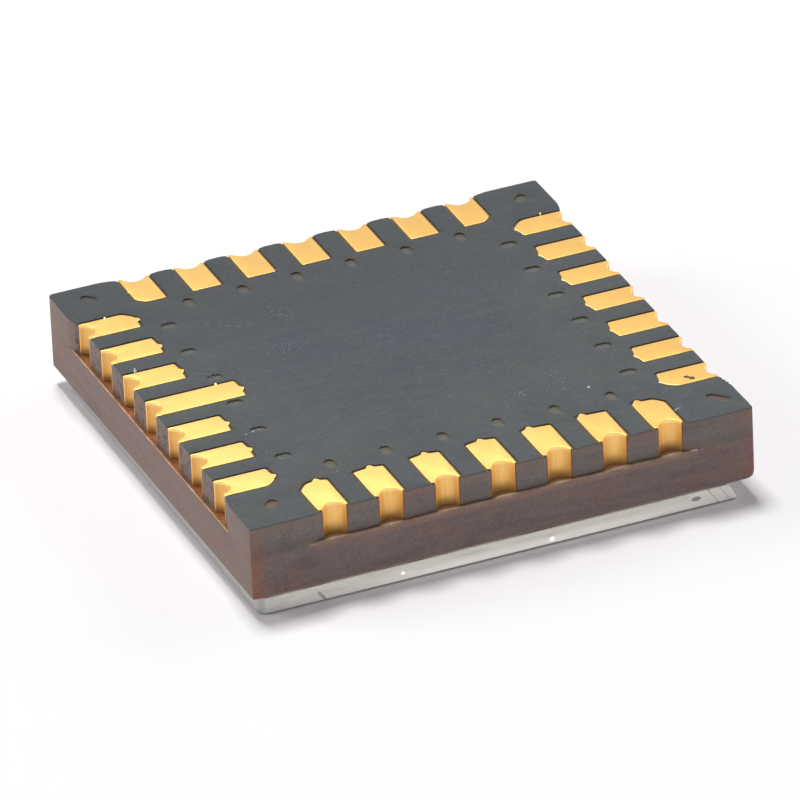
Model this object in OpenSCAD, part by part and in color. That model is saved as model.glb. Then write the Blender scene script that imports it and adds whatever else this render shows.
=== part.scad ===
// Leadless chip carrier with castellated terminals and a glass window, lying window down.
// The origin is at the middle of the body on the window's outer face, with +Z up towards the solder pads.
// All sizes are in millimetres.

/* [Body] */
// Side of the square package body
body_side = 11.43; // [11.1:0.01:12.5]
// Radius of the body's upright corner edges
body_r = 0.06; // [0.02:0.01:0.2]
// Thickness of the board that carries the terminals
base_t = 0.67; // [0.5:0.01:1.2]
// Thickness of the frame board that makes the cavity wall
wall_t = 0.93; // [0.85:0.01:1.5]
// Thickness of the adhesive film that joins the two boards
ply_t = 0.05; // [0.04:0.01:0.12]

/* [Routed edge] */
// How far the routed edge lies inside the body's side, between the corner posts
edge_recess = 0.09; // [0.04:0.01:0.14]
// Radius of the rounded shoulder between the routed edge and each corner post
shoulder_r = 1.2; // [0.4:0.05:1.8]
// Length of straight routed edge past the side of each end pad
edge_run = 0.02; // [0.01:0.01:0.12]

/* [Solder pads] */
// Distance between neighbouring terminals
pitch = 1.27; // [1.2:0.01:1.7]
// Least distance from the body's corner to the middle of the terminal next to it, along the side
corner_room = 1.85; // [1.83:0.01:2.2]
// Width of a solder pad
pad_w = 0.65; // [0.6:0.01:0.75]
// Length of a solder pad, from the routed edge inwards
pad_len = 1.195; // [1:0.005:1.3]
// Length of the first terminal's pad, from the routed edge inwards
index_pad_len = 2.03; // [1.6:0.01:2.4]
// Thickness of a solder pad
pad_t = 0.045; // [0.02:0.005:0.08]
// Chamfer on the inner corners of a pad
pad_chamfer = 0.06; // [0.02:0.01:0.1]
// Radius of the end pads' inner corner that faces the package corner
corner_round = 0.33; // [0.15:0.01:0.4]
// Width of the tab on a pad's inner end, at its root
tab_root_w = 0.28; // [0.16:0.01:0.36]
// Width of the tab on a pad's inner end, at its tip
tab_tip_w = 0.13; // [0.06:0.01:0.15]

/* [Castellations] */
// Radius of the plated half hole in the edge
notch_r = 0.27; // [0.2:0.005:0.28]
// How far the half hole's centre lies outside the routed edge
notch_out = 0.01; // [0.01:0.01:0.1]
// Thickness of the metal on the half hole's wall
plating_t = 0.035; // [0.02:0.005:0.05]

/* [Solder mask] */
// Thickness of the mask coat
mask_t = 0.035; // [0.015:0.005:0.045]
// Bare laminate between a pad and the mask
mask_gap = 0.08; // [0.04:0.01:0.1]
// Width of the small oblong pits in the mask
pit_w = 0.24; // [0.16:0.01:0.3]
// Length of the small oblong pits in the mask
pit_len = 0.38; // [0.34:0.01:0.46]
// Depth of the pits below the face of the laminate
pit_depth = 0.03; // [0.01:0.01:0.1]
// Distance from the pads' inner ends to the centres of the pits
pit_inset = 0.46; // [0.4:0.01:0.6]
// Distance from the body's sides to the centre of each corner pit
corner_pit_inset = 0.7; // [0.6:0.01:0.8]

/* [Cavity] */
// Side of the square cavity
cavity_side = 7.6; // [7.4:0.05:7.8]
// Radius of the cavity's corners
cavity_r = 0.4; // [0.1:0.05:0.6]

/* [Inner conductors] */
// Thickness of the conductors on the cavity floor
finger_t = 0.03; // [0.01:0.005:0.035]
// Width of a bond finger
finger_w = 0.34; // [0.2:0.01:0.5]
// Gap between the two bond fingers that meet at a corner of the cavity
corner_finger_gap = 0.18; // [0.1:0.01:0.4]
// Length of a bond finger inside the cavity
finger_len = 0.75; // [0.5:0.01:0.85]
// Width of the trace between the half hole and the bond finger
trace_w = 0.2; // [0.12:0.01:0.3]
// Width of the metal ring around the half hole, on the cavity side of the board
land_w = 0.13; // [0.06:0.01:0.18]
// Length of the trace that runs straight in from the edge before it bends
trace_run = 0.45; // [0.38:0.01:0.6]
// Length of the straight finger that is covered by the cavity wall
finger_cover = 0.2; // [0.1:0.01:0.35]

/* [Sensor chip] */
// Gap between the bond fingers and the metal plane that the chip is mounted on
plane_gap = 0.25; // [0.1:0.01:0.3]
// How far the adhesive under the chip reaches past it
attach_margin = 0.1; // [0.02:0.01:0.2]
// Thickness of the adhesive layer under the chip
attach_t = 0.03; // [0.02:0.005:0.06]
// Side of the square chip
die_side = 5; // [4.6:0.05:5.2]
// Thickness of the chip
die_t = 0.35; // [0.25:0.01:0.45]
// Side of the light-sensing area
filter_side = 3.6; // [2.5:0.05:4]
// Thickness of the filter coat over the light-sensing area
filter_t = 0.01; // [0.005:0.005:0.02]
// Side of a bond pad on the chip
bond_pad_side = 0.12; // [0.1:0.01:0.16]
// Thickness of a bond pad on the chip
bond_pad_t = 0.01; // [0.005:0.005:0.015]
// Distance from the chip's edge to the centres of its bond pads
bond_pad_inset = 0.15; // [0.1:0.01:0.2]
// Distance between neighbouring bond pads on the chip
bond_pad_pitch = 0.65; // [0.5:0.01:0.7]

/* [Bond wires] */
// Diameter of the bond wire
wire_d = 0.03; // [0.02:0.005:0.04]
// Diameter of the ball where a wire leaves the chip
ball_d = 0.08; // [0.06:0.005:0.095]
// Height of the ball
ball_h = 0.03; // [0.02:0.005:0.04]
// Height of a wire's control points above the chip
wire_rise = 0.22; // [0.12:0.01:0.25]

/* [Window] */
// Size of the glass window along X
window_w = 10.8; // [10:0.05:10.9]
// Size of the glass window along Y
window_d = 10.9; // [10:0.05:10.9]
// Thickness of the glass
window_t = 0.4; // [0.3:0.01:0.7]
// Chamfer on the edges of the glass's outer face
window_chamfer = 0.04; // [0.01:0.01:0.1]
// How far the glass sits off the middle of the body along X
window_shift_x = -0.11; // [-0.2:0.01:0.2]
// How far the glass sits off the middle of the body along Y
window_shift_y = -0.22; // [-0.25:0.01:0.25]
// Thickness of the adhesive between the glass and the frame board
seal_t = 0.05; // [0.03:0.01:0.12]
// How far the adhesive stays inside the edge of the glass
seal_setback = 0.05; // [0.02:0.01:0.3]
// How far the adhesive stays clear of the cavity's edge
seal_clearance = 0.2; // [0.05:0.01:0.5]

/* [Hidden] */
// Facets of round shapes
$fn = 48;
// Overshoot of a cutting shape past the face that it cuts
cut = 0.5;
// Sides of a bond wire, rings along it past its ball, and the first ring's share of a ring's step
wire_sides = 6;
wire_rings = 6;
neck = 0.4;

// As many terminals on each side as there is room for between the corners
pins_per_side = floor((body_side - 2 * corner_room) / pitch) + 1;
terminals = 4 * pins_per_side;
// Place of a side's last terminal and of the one with the long pad, counted from the side's middle
middle = (pins_per_side - 1) / 2;
index_place = floor(middle) - middle;

// Levels of the stack, from the window's outer face up to the pads
seal_z = window_t;
wall_z = seal_z + seal_t;
ply_z = wall_z + wall_t;
base_z = ply_z + ply_t;
top_z = base_z + base_t;
floor_z = base_z - finger_t;
die_z = floor_z - attach_t - die_t;
bond_z = die_z - bond_pad_t;

// Distances out from the middle of the body
body_half = body_side / 2;
edge_y = body_half - edge_recess;
pad_end_y = edge_y - pad_len;
notch_y = edge_y + notch_out;
bore_r = notch_r + plating_t;
cavity_half = cavity_side / 2;
finger_tip_y = cavity_half - finger_len;
finger_pitch = (finger_tip_y - corner_finger_gap - finger_w / 2) / middle;
die_pad_side = 2 * (finger_tip_y - plane_gap);
attach_side = die_side + 2 * attach_margin;
bond_pad_y = die_side / 2 - bond_pad_inset;
last_pad_x = middle * pitch;

gold = "#ecc067";

function two_digits(i) = i < 10 ? str("0", i) : str(i);

// Terminals count clockwise as seen from the pads, from the long pad in the middle of the -X side
function perimeter_place(i) = (i - 1 + floor(middle)) % terminals;
function side_of(i) = floor(perimeter_place(i) / pins_per_side);
function place_of(i) = perimeter_place(i) % pins_per_side - middle;

// Turns a shape drawn for the +Y side, x running clockwise, onto side 0 to 3 from the -X side
module on_side(side) {
    rotate(90 - 90 * side)
        children();
}

module on_all_sides() {
    for (side = [0 : 3])
        on_side(side)
            children();
}

// A square with true round corners
module rounded_square(side, r) {
    square([side, side - 2 * r], center = true);
    square([side - 2 * r, side], center = true);
    for (x = [-1, 1], y = [-1, 1])
        translate([x, y] * (side / 2 - r))
            circle(r);
}

// A slot with round ends, its length along y
module oblong(width, length) {
    square([width, length - width], center = true);
    for (end = [-1, 1])
        translate([0, end * (length - width) / 2])
            circle(d = width);
}

// The body's outline with its four routed edges, each ending in shoulders tangent to the side
module routed_outline() {
    straight_half = last_pad_x + pad_w / 2 + edge_run;
    shoulder_run = sqrt(shoulder_r * shoulder_r - pow(shoulder_r - edge_recess, 2));
    cut_half = straight_half + shoulder_run;
    difference() {
        rounded_square(body_side, body_r);
        on_all_sides()
            difference() {
                translate([-cut_half, edge_y])
                    square([2 * cut_half, edge_recess + cut]);
                for (end = [-1, 1])
                    translate([end * cut_half, body_half - shoulder_r])
                        circle(shoulder_r);
            }
    }
}

// Half holes at every terminal
module half_holes(r) {
    on_all_sides()
        for (place = [-middle : middle])
            translate([place * pitch, notch_y])
                circle(r);
}

// A pad's outline, or with grow the opening around it, for a place counted from the side's middle
module pad_outline(place, length, grow = 0) {
    half_w = pad_w / 2 + grow;
    end_y = edge_y - length - grow;
    outer_y = grow > 0 ? edge_y + cut : edge_y;
    towards_corner = abs(place) == middle ? sign(place) : 0;
    translate([place * pitch, 0])
        difference() {
            polygon([
                [-half_w, outer_y],
                [-half_w, end_y + pad_chamfer],
                [-half_w + pad_chamfer, end_y],
                [half_w - pad_chamfer, end_y],
                [half_w, end_y + pad_chamfer],
                [half_w, outer_y]
            ]);
            if (towards_corner != 0)
                round_off(towards_corner, half_w, end_y, corner_round + grow);
        }
}

// Cuts the corner at (x_sign * x, y) of a shape back to a quarter circle
module round_off(x_sign, x, y, r) {
    translate([x_sign * (x - r), y + r])
        difference() {
            translate([x_sign > 0 ? 0 : -r - cut, -r - cut])
                square(r + cut);
            circle(r);
        }
}

// The tab where a plating trace left the pad, up to the mask's edge and clear of a rounded corner
module pad_tab(place, length) {
    root_y = edge_y - length;
    tip_y = root_y - mask_gap;
    towards_corner = abs(place) == middle ? sign(place) : 0;
    shift = max(0, corner_round + tab_tip_w / 2 - pad_w / 2);
    translate([place * pitch - towards_corner * shift, 0])
        polygon([
            [-tab_root_w / 2, root_y],
            [tab_root_w / 2, root_y],
            [tab_tip_w / 2, tip_y],
            [-tab_tip_w / 2, tip_y]
        ]);
}

function pad_length(side, place) = side == 0 && place == index_place ? index_pad_len : pad_len;

// Openings in the mask around all pads
module mask_openings() {
    for (side = [0 : 3])
        on_side(side)
            for (place = [-middle : middle])
                pad_outline(place, pad_length(side, place), mask_gap);
}

// Small oblong pits between the pads' inner ends and one on each corner diagonal, all pointing inwards
module pits() {
    on_all_sides() {
        for (place = [0.5 - middle : middle - 0.5])
            translate([place * pitch, pad_end_y - pit_inset])
                oblong(pit_w, pit_len);
        rotate(-45)
            translate([0, (body_half - corner_pit_inset) * sqrt(2)])
                oblong(pit_w, pit_len);
    }
}

// A conductor's outline on the cavity side: ring at the half hole, trace and bond finger
module inner_trace(place) {
    x_out = place * pitch;
    x_in = place * finger_pitch;
    bend_y = edge_y - trace_run;
    cover_y = cavity_half + finger_cover;
    difference() {
        union() {
            intersection() {
                translate([x_out, notch_y])
                    circle(notch_r + land_w);
                translate([x_out - pitch / 2, edge_y - pitch])
                    square(pitch);
            }
            translate([x_out - trace_w / 2, bend_y])
                square([trace_w, edge_y - bend_y]);
            polygon([
                [x_out - trace_w / 2, bend_y],
                [x_out + trace_w / 2, bend_y],
                [x_in + trace_w / 2, cover_y],
                [x_in - trace_w / 2, cover_y]
            ]);
            translate([x_in - finger_w / 2, finger_tip_y])
                square([finger_w, cover_y - finger_tip_y]);
        }
        translate([x_out, notch_y])
            circle(notch_r);
    }
}

// Board with the plated half holes, whose underside is the cavity's floor
module base_board() {
    color("#5e4640")
        difference() {
            translate([0, 0, base_z])
                linear_extrude(base_t)
                    difference() {
                        routed_outline();
                        half_holes(bore_r);
                    }
            translate([0, 0, top_z - pit_depth])
                linear_extrude(pit_depth + cut)
                    pits();
        }
}

// Adhesive film between the boards, with a bed for each conductor
module bond_ply() {
    color("#8a4f28")
        difference() {
            translate([0, 0, ply_z])
                linear_extrude(ply_t)
                    difference() {
                        rounded_square(body_side, body_r);
                        rounded_square(cavity_side, cavity_r);
                    }
            translate([0, 0, floor_z])
                linear_extrude(finger_t + cut)
                    on_all_sides()
                        for (place = [-middle : middle])
                            inner_trace(place);
        }
}

// Frame board around the cavity
module wall_board() {
    color("#6b524b")
        translate([0, 0, wall_z])
            linear_extrude(wall_t)
                difference() {
                    rounded_square(body_side, body_r);
                    rounded_square(cavity_side, cavity_r);
                }
}

// Dark coat on the outer face of the base board
module solder_mask() {
    color("#575c62")
        translate([0, 0, top_z])
            linear_extrude(mask_t)
                difference() {
                    routed_outline();
                    mask_openings();
                    pits();
                }
}

// One conductor: solder pad, plated half hole, inner trace and bond finger
module terminal(i) {
    side = side_of(i);
    place = place_of(i);
    length = pad_length(side, place);
    color(gold)
        on_side(side) {
            translate([0, 0, top_z])
                linear_extrude(pad_t)
                    difference() {
                        union() {
                            pad_outline(place, length);
                            pad_tab(place, length);
                        }
                        translate([place * pitch, notch_y])
                            circle(notch_r);
                    }
            translate([0, 0, base_z])
                linear_extrude(base_t)
                    translate([place * pitch, notch_y])
                        difference() {
                            circle(bore_r);
                            circle(notch_r);
                            translate([-bore_r - cut, -notch_out])
                                square([2 * (bore_r + cut), bore_r + notch_out + cut]);
                        }
            translate([0, 0, floor_z])
                linear_extrude(finger_t)
                    inner_trace(place);
        }
}

// Adhesive ring that holds the glass to the frame board
module lid_seal() {
    color("#a9a898")
        translate([0, 0, seal_z])
            linear_extrude(seal_t)
                difference() {
                    translate([window_shift_x, window_shift_y])
                        square([window_w - 2 * seal_setback, window_d - 2 * seal_setback], center = true);
                    rounded_square(cavity_side + 2 * seal_clearance, cavity_r + seal_clearance);
                }
}

// A long prism that cuts the edge at distance y along X at the foot of the glass
module edge_cut(length, y) {
    rotate([90, 0, 90])
        linear_extrude(length + 2 * cut, center = true)
            polygon([[y - window_chamfer, 0], [y, window_chamfer], [y + cut, window_chamfer],
                [y + cut, -cut], [y - window_chamfer, -cut]]);
}

// Glass plate with chamfered outer edges
module window() {
    color("#c9d0c6", 0.55)
        translate([window_shift_x, window_shift_y, 0])
            difference() {
                translate([-window_w / 2, -window_d / 2, 0])
                    cube([window_w, window_d, window_t]);
                for (turn = [0, 180]) {
                    rotate(turn)
                        edge_cut(window_w, window_d / 2);
                    rotate(turn + 90)
                        edge_cut(window_d, window_w / 2);
                }
            }
}

// A flat square layer in the cavity, with its lower face at the given level
module layer(side, thickness, z) {
    translate([-side / 2, -side / 2, z])
        cube([side, side, thickness]);
}

// Metal plane on the cavity floor under the chip
module die_pad() {
    color(gold)
        layer(die_pad_side, finger_t, floor_z);
}

// Adhesive under the chip
module die_attach() {
    color("#c8c4b4")
        layer(attach_side, attach_t, floor_z - attach_t);
}

// Sensor chip, its active face towards the window
module die() {
    color("#474b57")
        layer(die_side, die_t, die_z);
}

// Filter coat over the light-sensing area
module filter_coat() {
    color("#3f5a4c")
        layer(filter_side, filter_t, die_z - filter_t);
}

// Metal pads along the chip's edges
module die_bond_pads() {
    color("#c9ccd0")
        on_all_sides()
            for (place = [-middle : middle])
                translate([place * bond_pad_pitch, bond_pad_y, 0])
                    layer(bond_pad_side, bond_pad_t, bond_z);
}

// Point at t, from 0 to 1, on a cubic curve through four control points
function on_curve(p, t) =
    pow(1 - t, 3) * p[0] + 3 * pow(1 - t, 2) * t * p[1] + 3 * (1 - t) * t * t * p[2] + t * t * t * p[3];

// Direction of the curve at t
function along_curve(p, t) =
    pow(1 - t, 2) * (p[1] - p[0]) + 2 * (1 - t) * t * (p[2] - p[1]) + t * t * (p[3] - p[2]);

// One ring of a wire: points around a centre, in the plane across a direction
function ring(centre, direction, across, r) =
    let (up = cross(direction, across) / norm(cross(direction, across)))
    [for (s = [0 : wire_sides - 1])
        centre + r * (cos(360 * s / wire_sides) * across + sin(360 * s / wire_sides) * up)];

// A wire from the chip's bond pad, over a loop towards the window, to its bond finger
module bond_wire(place) {
    foot = [place * bond_pad_pitch, bond_pad_y, bond_z];
    end = [place * finger_pitch, finger_tip_y + finger_len / 2, floor_z];
    down = [0, 0, -1];
    start = foot + ball_h * down;
    run = [end.x - foot.x, end.y - foot.y, 0];
    across = [run.y, -run.x, 0] / norm(run);
    curve = [start, start + wire_rise * down, start + run / 2 + wire_rise * down, end];
    ball = [ring(foot, down, across, ball_d / 2), ring(start, down, across, ball_d / 2)];
    loop = [for (k = [0 : wire_rings - 1])
        let (t = max(k, neck) / wire_rings)
        ring(on_curve(curve, t), along_curve(curve, t), across, wire_d / 2)];
    stitch = [ring(end, -down, across, wire_d / 2)];
    rings = concat(ball, loop, stitch);
    last = len(rings) - 1;
    polyhedron(
        points = [for (r = rings, p = r) p],
        faces = concat(
            [[for (s = [0 : wire_sides - 1]) s]],
            [[for (s = [wire_sides - 1 : -1 : 0]) last * wire_sides + s]],
            [for (k = [0 : last - 1], s = [0 : wire_sides - 1])
                let (a = k * wire_sides + s, b = k * wire_sides + (s + 1) % wire_sides)
                [a, a + wire_sides, b]],
            [for (k = [0 : last - 1], s = [0 : wire_sides - 1])
                let (a = k * wire_sides + s, b = k * wire_sides + (s + 1) % wire_sides)
                [b, a + wire_sides, b + wire_sides]]
        )
    );
}

// Wires between the chip and all bond fingers
module bond_wires() {
    color(gold)
        on_all_sides()
            for (place = [-middle : middle])
                bond_wire(place);
}

base_board();
bond_ply();
wall_board();
solder_mask();
lid_seal();
window();
die_pad();
die_attach();
die();
filter_coat();
die_bond_pads();
bond_wires();
for (i = [1 : terminals])
    terminal(i);
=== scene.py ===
# %% [markdown]
# # A leadless chip carrier, lying window down
#
# The object is a square chip package of about 11 mm. Two boards of glass-fibre laminate are glued together,
# a glass window closes the cavity between them, and 28 gold terminals run from the solder pads on top, down
# the half holes in the edge, to the bond fingers inside. The camera looks at the pads, so most work goes
# there.
#
# The frame below holds the measured solids. It could simply be painted, but at this size the eye reads the
# package by its edges: rounded rims, drilled half holes, a coat of mask with a soft lip. So each visible
# layer is drawn again here with finer edges, at the same place and size, and the solid that it stands for
# is hidden.

import math

import bpy
import numpy as np
from mathutils import Matrix, Vector, geometry


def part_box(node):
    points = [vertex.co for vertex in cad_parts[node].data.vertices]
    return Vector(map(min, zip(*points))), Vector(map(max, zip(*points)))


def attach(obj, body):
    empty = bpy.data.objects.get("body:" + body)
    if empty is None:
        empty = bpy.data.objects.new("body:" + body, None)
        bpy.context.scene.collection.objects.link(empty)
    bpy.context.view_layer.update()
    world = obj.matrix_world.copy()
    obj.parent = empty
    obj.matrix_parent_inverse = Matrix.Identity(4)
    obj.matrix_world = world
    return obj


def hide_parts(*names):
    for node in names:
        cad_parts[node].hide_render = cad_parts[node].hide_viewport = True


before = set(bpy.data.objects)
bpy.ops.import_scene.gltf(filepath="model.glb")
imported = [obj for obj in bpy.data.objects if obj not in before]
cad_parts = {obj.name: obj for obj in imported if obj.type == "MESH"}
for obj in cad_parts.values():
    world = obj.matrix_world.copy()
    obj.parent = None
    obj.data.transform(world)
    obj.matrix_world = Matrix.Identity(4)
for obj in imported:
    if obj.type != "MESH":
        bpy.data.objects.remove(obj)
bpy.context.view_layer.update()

# %% [markdown]
# ## Sizes
#
# Everything that follows is drawn in millimetres and scaled once, when a mesh is made. Levels and outer
# places are read from the frame's boxes, so they can't drift away from the solids. The few sizes that a box
# doesn't tell, such as the radius of a half hole, are named here once. EDGE_Y is the line of the routed
# edge as it was meant to be, from which holes, pads and pits are laid out.

# %% Levels and sizes in millimetres
MM = 0.001


def low(node):
    return np.array(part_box(node)[0]) / MM


def high(node):
    return np.array(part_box(node)[1]) / MM


SEAL_Z = low("lid_seal")[2]
WALL_Z = low("wall_board")[2]
PLY_Z = low("bond_ply")[2]
BASE_Z = low("base_board")[2]
TOP_Z = high("base_board")[2]
MASK_Z = high("solder_mask")[2]
PAD_Z = high("terminal_01")[2]
FINGER_Z = low("terminal_01")[2]

BODY_HALF = high("wall_board")[0]
EDGE_Y = BODY_HALF - 0.09
PITCH = 1.27
PINS = len([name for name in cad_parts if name.startswith("terminal_")]) // 4
MIDDLE = (PINS - 1) // 2
PAD_W = 0.66
PAD_LEN = 1.195
INDEX_PAD_LEN = 2.05
NOTCH_R = 0.27
PLATING = 0.014
SHOULDER_R = 1.2
EDGE_RUN = 0.01
MASK_GAP = 0.05
CAVITY_HALF = 3.8
CAVITY_R = 0.4
print("levels", [round(float(z), 3) for z in (SEAL_Z, WALL_Z, PLY_Z, BASE_Z, TOP_Z, MASK_Z, PAD_Z)])

# %% [markdown]
# Four sides carry the same features, so a side is drawn once, as the far (+Y) one with x running clockwise,
# and turned into place. Sides are counted clockwise from the left (-X) one, as the terminals are.
#
# No real package is perfect. The half holes were drilled a little off the copper pattern, along each side
# and in depth, the mask was printed a hair further back than the copper, and the router cut the front side
# less deep than the others. All three show in the photograph at every pad, so they are kept as small tables
# rather than as a shake of random noise.

# %% Sides and their irregularities
LEFT, BACK, RIGHT, FRONT = range(4)
DRILLED = {LEFT: (0.025, 0.03), BACK: (0.03, 0.035), RIGHT: (0.02, 0.12), FRONT: (-0.03, 0.065)}
MASK_OFF = np.array([0.014, 0.034])
RECESS = {LEFT: 0.10, BACK: 0.10, RIGHT: 0.10, FRONT: 0.07}
CORNER_R = {LEFT: 0.12, BACK: 0.07, RIGHT: 0.06, FRONT: 0.05}


def turned(points, side):
    """Turns points by 90 degrees less 90 for each side: x' = x cos a - y sin a, y' = x sin a + y cos a."""
    a = math.radians(90 - 90 * side)
    return np.asarray(points, float) @ np.array([[math.cos(a), math.sin(a)], [-math.sin(a), math.cos(a)]])


def turned_back(points, side):
    """The reverse turn, from the package's own x and y to the side's."""
    return turned(points, 2 - side)


def edge_y(side):
    """Distance of a side's routed edge from the middle."""
    return BODY_HALF - RECESS[side]


def drill(side, place):
    """Centre of the half hole at a place, in the side's own x and y."""
    along, out = DRILLED[side]
    return np.array([place * PITCH + along, EDGE_Y + out])


for side in (LEFT, FRONT):
    print("side", side, "edge", round(edge_y(side), 3), "drill", drill(side, 0).round(3))

# %% [markdown]
# ## Outlines
#
# A layer of a board is a flat outline with holes. Each outline is a chain of straight runs and true arcs.
# Corners of the copper are rounded by a small curve between the two edges, which is how etched copper
# looks.

# %% Arcs, rounded corners and oblongs
def arc(centre, r, start, end, steps):
    """Points at equal angles on a circle: centre + r (cos a, sin a), from start to end in degrees."""
    a = np.radians(np.linspace(start, end, steps + 1))
    return np.asarray(centre, float) + r * np.column_stack([np.cos(a), np.sin(a)])


def rounded(corners, cuts):
    """An open chain whose inner corners are swapped for short curves.

    Each curve starts and ends one cut away from its corner and is the quadratic through them:
    (1-t)^2 A + 2 (1-t) t P + t^2 B, with P the corner itself.
    """
    p = np.asarray(corners, float)
    t = np.linspace(0, 1, 5)[:, None]
    chain = [p[:1]]
    for before, corner, after, cut in zip(p[:-2], p[1:-1], p[2:], cuts):
        a = corner + (before - corner) * min(0.45, cut / np.linalg.norm(before - corner))
        b = corner + (after - corner) * min(0.45, cut / np.linalg.norm(after - corner))
        chain.append((1 - t) ** 2 * a + 2 * (1 - t) * t * corner + t**2 * b)
    return np.vstack([*chain, p[-1:]])


def oblong(centre, width, length, angle=0.0):
    """A slot with round ends, its length along y, turned by an angle: two half circles and straight runs."""
    run = (length - width) / 2
    ring = np.vstack([arc((0, run), width / 2, 0, 180, 8), arc((0, -run), width / 2, 180, 360, 8)])
    a = math.radians(angle)
    return ring @ np.array([[math.cos(a), math.sin(a)], [-math.sin(a), math.cos(a)]]) + np.asarray(centre)


def rounded_square(half, r):
    """A square with round corners, anticlockwise: one quarter circle for each corner."""
    return np.vstack([arc(np.array([x, y]) * (half - r), r, a, a + 90, 8)
                      for x, y, a in ((1, 1, 0), (-1, 1, 90), (-1, -1, 180), (1, -1, 270))])


# %% [markdown]
# The half hole is a drilled, plated circle that the router then cut in two. The cut ran just inside the
# holes' centres, so a bit less than half a circle is left. Its lips are where drill and router met. Most
# are nearly sharp, but on the far side the fibres gave way and left the tongues between the holes round,
# like the tops of books in a row. The routed edge ends at each corner post in a long round shoulder, and
# one of the eight shoulders is scalloped by a rattling tool.

# %% The half hole and the routed edge
SHARP_LIP = 0.018
WORN_LIPS = {BACK: (0.55, 0.45), RIGHT: (0.018, 0.09)}
SCALLOP = 0.042
SCALLOPS = 3.6
LEAST_STEP = 0.022
LIP_STEPS = 5


def lips(side, place):
    """Radii of a hole's right and left lip. The lips next to a shoulder stay sharp."""
    right, left = WORN_LIPS.get(side, (SHARP_LIP, SHARP_LIP))
    return SHARP_LIP if place == MIDDLE else right, SHARP_LIP if place == -MIDDLE else left


def half_hole(side, place, r, lip_right, lip_left, back=0.0):
    """The edge's way round one half hole, from right to left. The edge may be set back a little.

    A lip is an arc that touches both the straight edge and the hole's circle: its centre lies one lip radius
    inside the edge, and r + lip away from the hole's centre.
    """
    (x, y), edge = drill(side, place), edge_y(side) - back
    chain = []
    swing = []
    for sign, lip in ((1, lip_right), (-1, lip_left)):
        depth = y - edge + lip
        run = math.sqrt((r + lip) ** 2 - depth**2)
        tilt = math.degrees(math.asin(depth / (r + lip)))
        centre = (x + sign * run, edge - lip)
        start, end = (90, 180 - tilt) if sign > 0 else (tilt, 90)
        chain.append(arc(centre, lip, start, end, LIP_STEPS))
        swing.append(tilt)
    hole = arc((x, y), r, -swing[0], -180 + swing[1], 20)
    return np.vstack([chain[0], hole[1:-1], chain[1]])


# %% [markdown]
# A board's whole outline strings these ways together, four times round: a corner, a shoulder, seven half
# holes and the other shoulder. What happens at a hole is left to a function, because the mask takes another
# way there.

# %% Shoulders and the whole outline
def shoulder(side, reach):
    """The round shoulder at the right end of a side, down to the edge or to x = reach if that comes first.

    It is an arc of SHOULDER_R that touches the body's side, with its centre one radius inside it. Points that
    crowd its end are left out.
    """
    run = math.sqrt(SHOULDER_R**2 - (SHOULDER_R - RECESS[side]) ** 2)
    foot = MIDDLE * PITCH + PAD_W / 2 + EDGE_RUN
    turn = math.degrees(math.asin((foot + run - max(foot, reach)) / SHOULDER_R))
    chain = arc((foot + run, BODY_HALF - SHOULDER_R), SHOULDER_R, 90, 90 + turn, 40)
    return chain[np.append(chain[:-1, 0] - chain[-1, 0] > LEAST_STEP, True)]


def scalloped(chain):
    """Round bumps with sharp dips between them: the chain moves in by SCALLOP (1 - |sin(pi (k s + 0.35))|).

    s runs from 0 to 1 along the chain, and k is SCALLOPS. At both ends the dips fade out.
    """
    s = np.linspace(0, 1, len(chain))
    fade = np.clip(6 * s, 0, 1) * np.clip(6 * (1 - s), 0, 1)
    dip = (1 - np.abs(np.sin(math.pi * (SCALLOPS * s + 0.35)))) * fade
    return chain - np.column_stack([0 * s, SCALLOP * dip])


def routed_outline(way_round):
    """The body's outline, anticlockwise. way_round(side, place) gives the edge's way past each terminal.

    Where a shoulder ends above the first or last point of that way, the two share the shoulder's end.
    """
    ring = []
    for side in (BACK, LEFT, FRONT, RIGHT):
        r = CORNER_R[side]
        corner = arc((BODY_HALF - r, BODY_HALF - r), r, 0, 90, 6)
        past = np.vstack([way_round(side, place) for place in range(MIDDLE, -MIDDLE - 1, -1)])
        right, left = shoulder(side, past[0, 0]), shoulder(side, -past[-1, 0]) * (-1, 1)
        for end, chain in ((0, right), (-1, left)):
            if abs(chain[-1, 0] - past[end, 0]) < 1e-6:
                past[end] = chain[-1]
        if side == RIGHT:
            right = scalloped(right)
        ring.append(turned(np.vstack([corner, right, past, left[::-1]]), side))
    return np.vstack(ring)


def board_way(side, place):
    return half_hole(side, place, NOTCH_R + PLATING, *lips(side, place))


def between(chain, left, right):
    """The part of a chain, which runs from right to left, between two uprights, cut exactly on them."""
    ends = [[x, np.interp(x, chain[::-1, 0], chain[::-1, 1])] for x in (right, left)]
    inner = chain[(chain[:, 0] < right - 0.012) & (chain[:, 0] > left + 0.012)]
    return np.vstack([ends[:1], inner, ends[1:]])


board_ring = routed_outline(board_way)
print("board outline", len(board_ring), "points")

# %% [markdown]
# The inner end of a pad shows how it was made. A thin trace fed the plating current and was cut off at the
# mask's edge, which leaves a small crooked nub. At the back the mask covers it. In front the nubs wander
# off the middle, because the drawing was squeezed to make room for the long pad. An end pad's corner that
# faces the package corner is cut off, to keep clear of the next row. In front the router pushed the copper
# back a hair from the edge, and wore the right outer corner. A short record for each side holds what
# differs from side to side: the fall of the pad's end, the rounding of its corners, the nub's length and
# place, and how much wider than drawn the pad is on its right and on its left.

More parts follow.
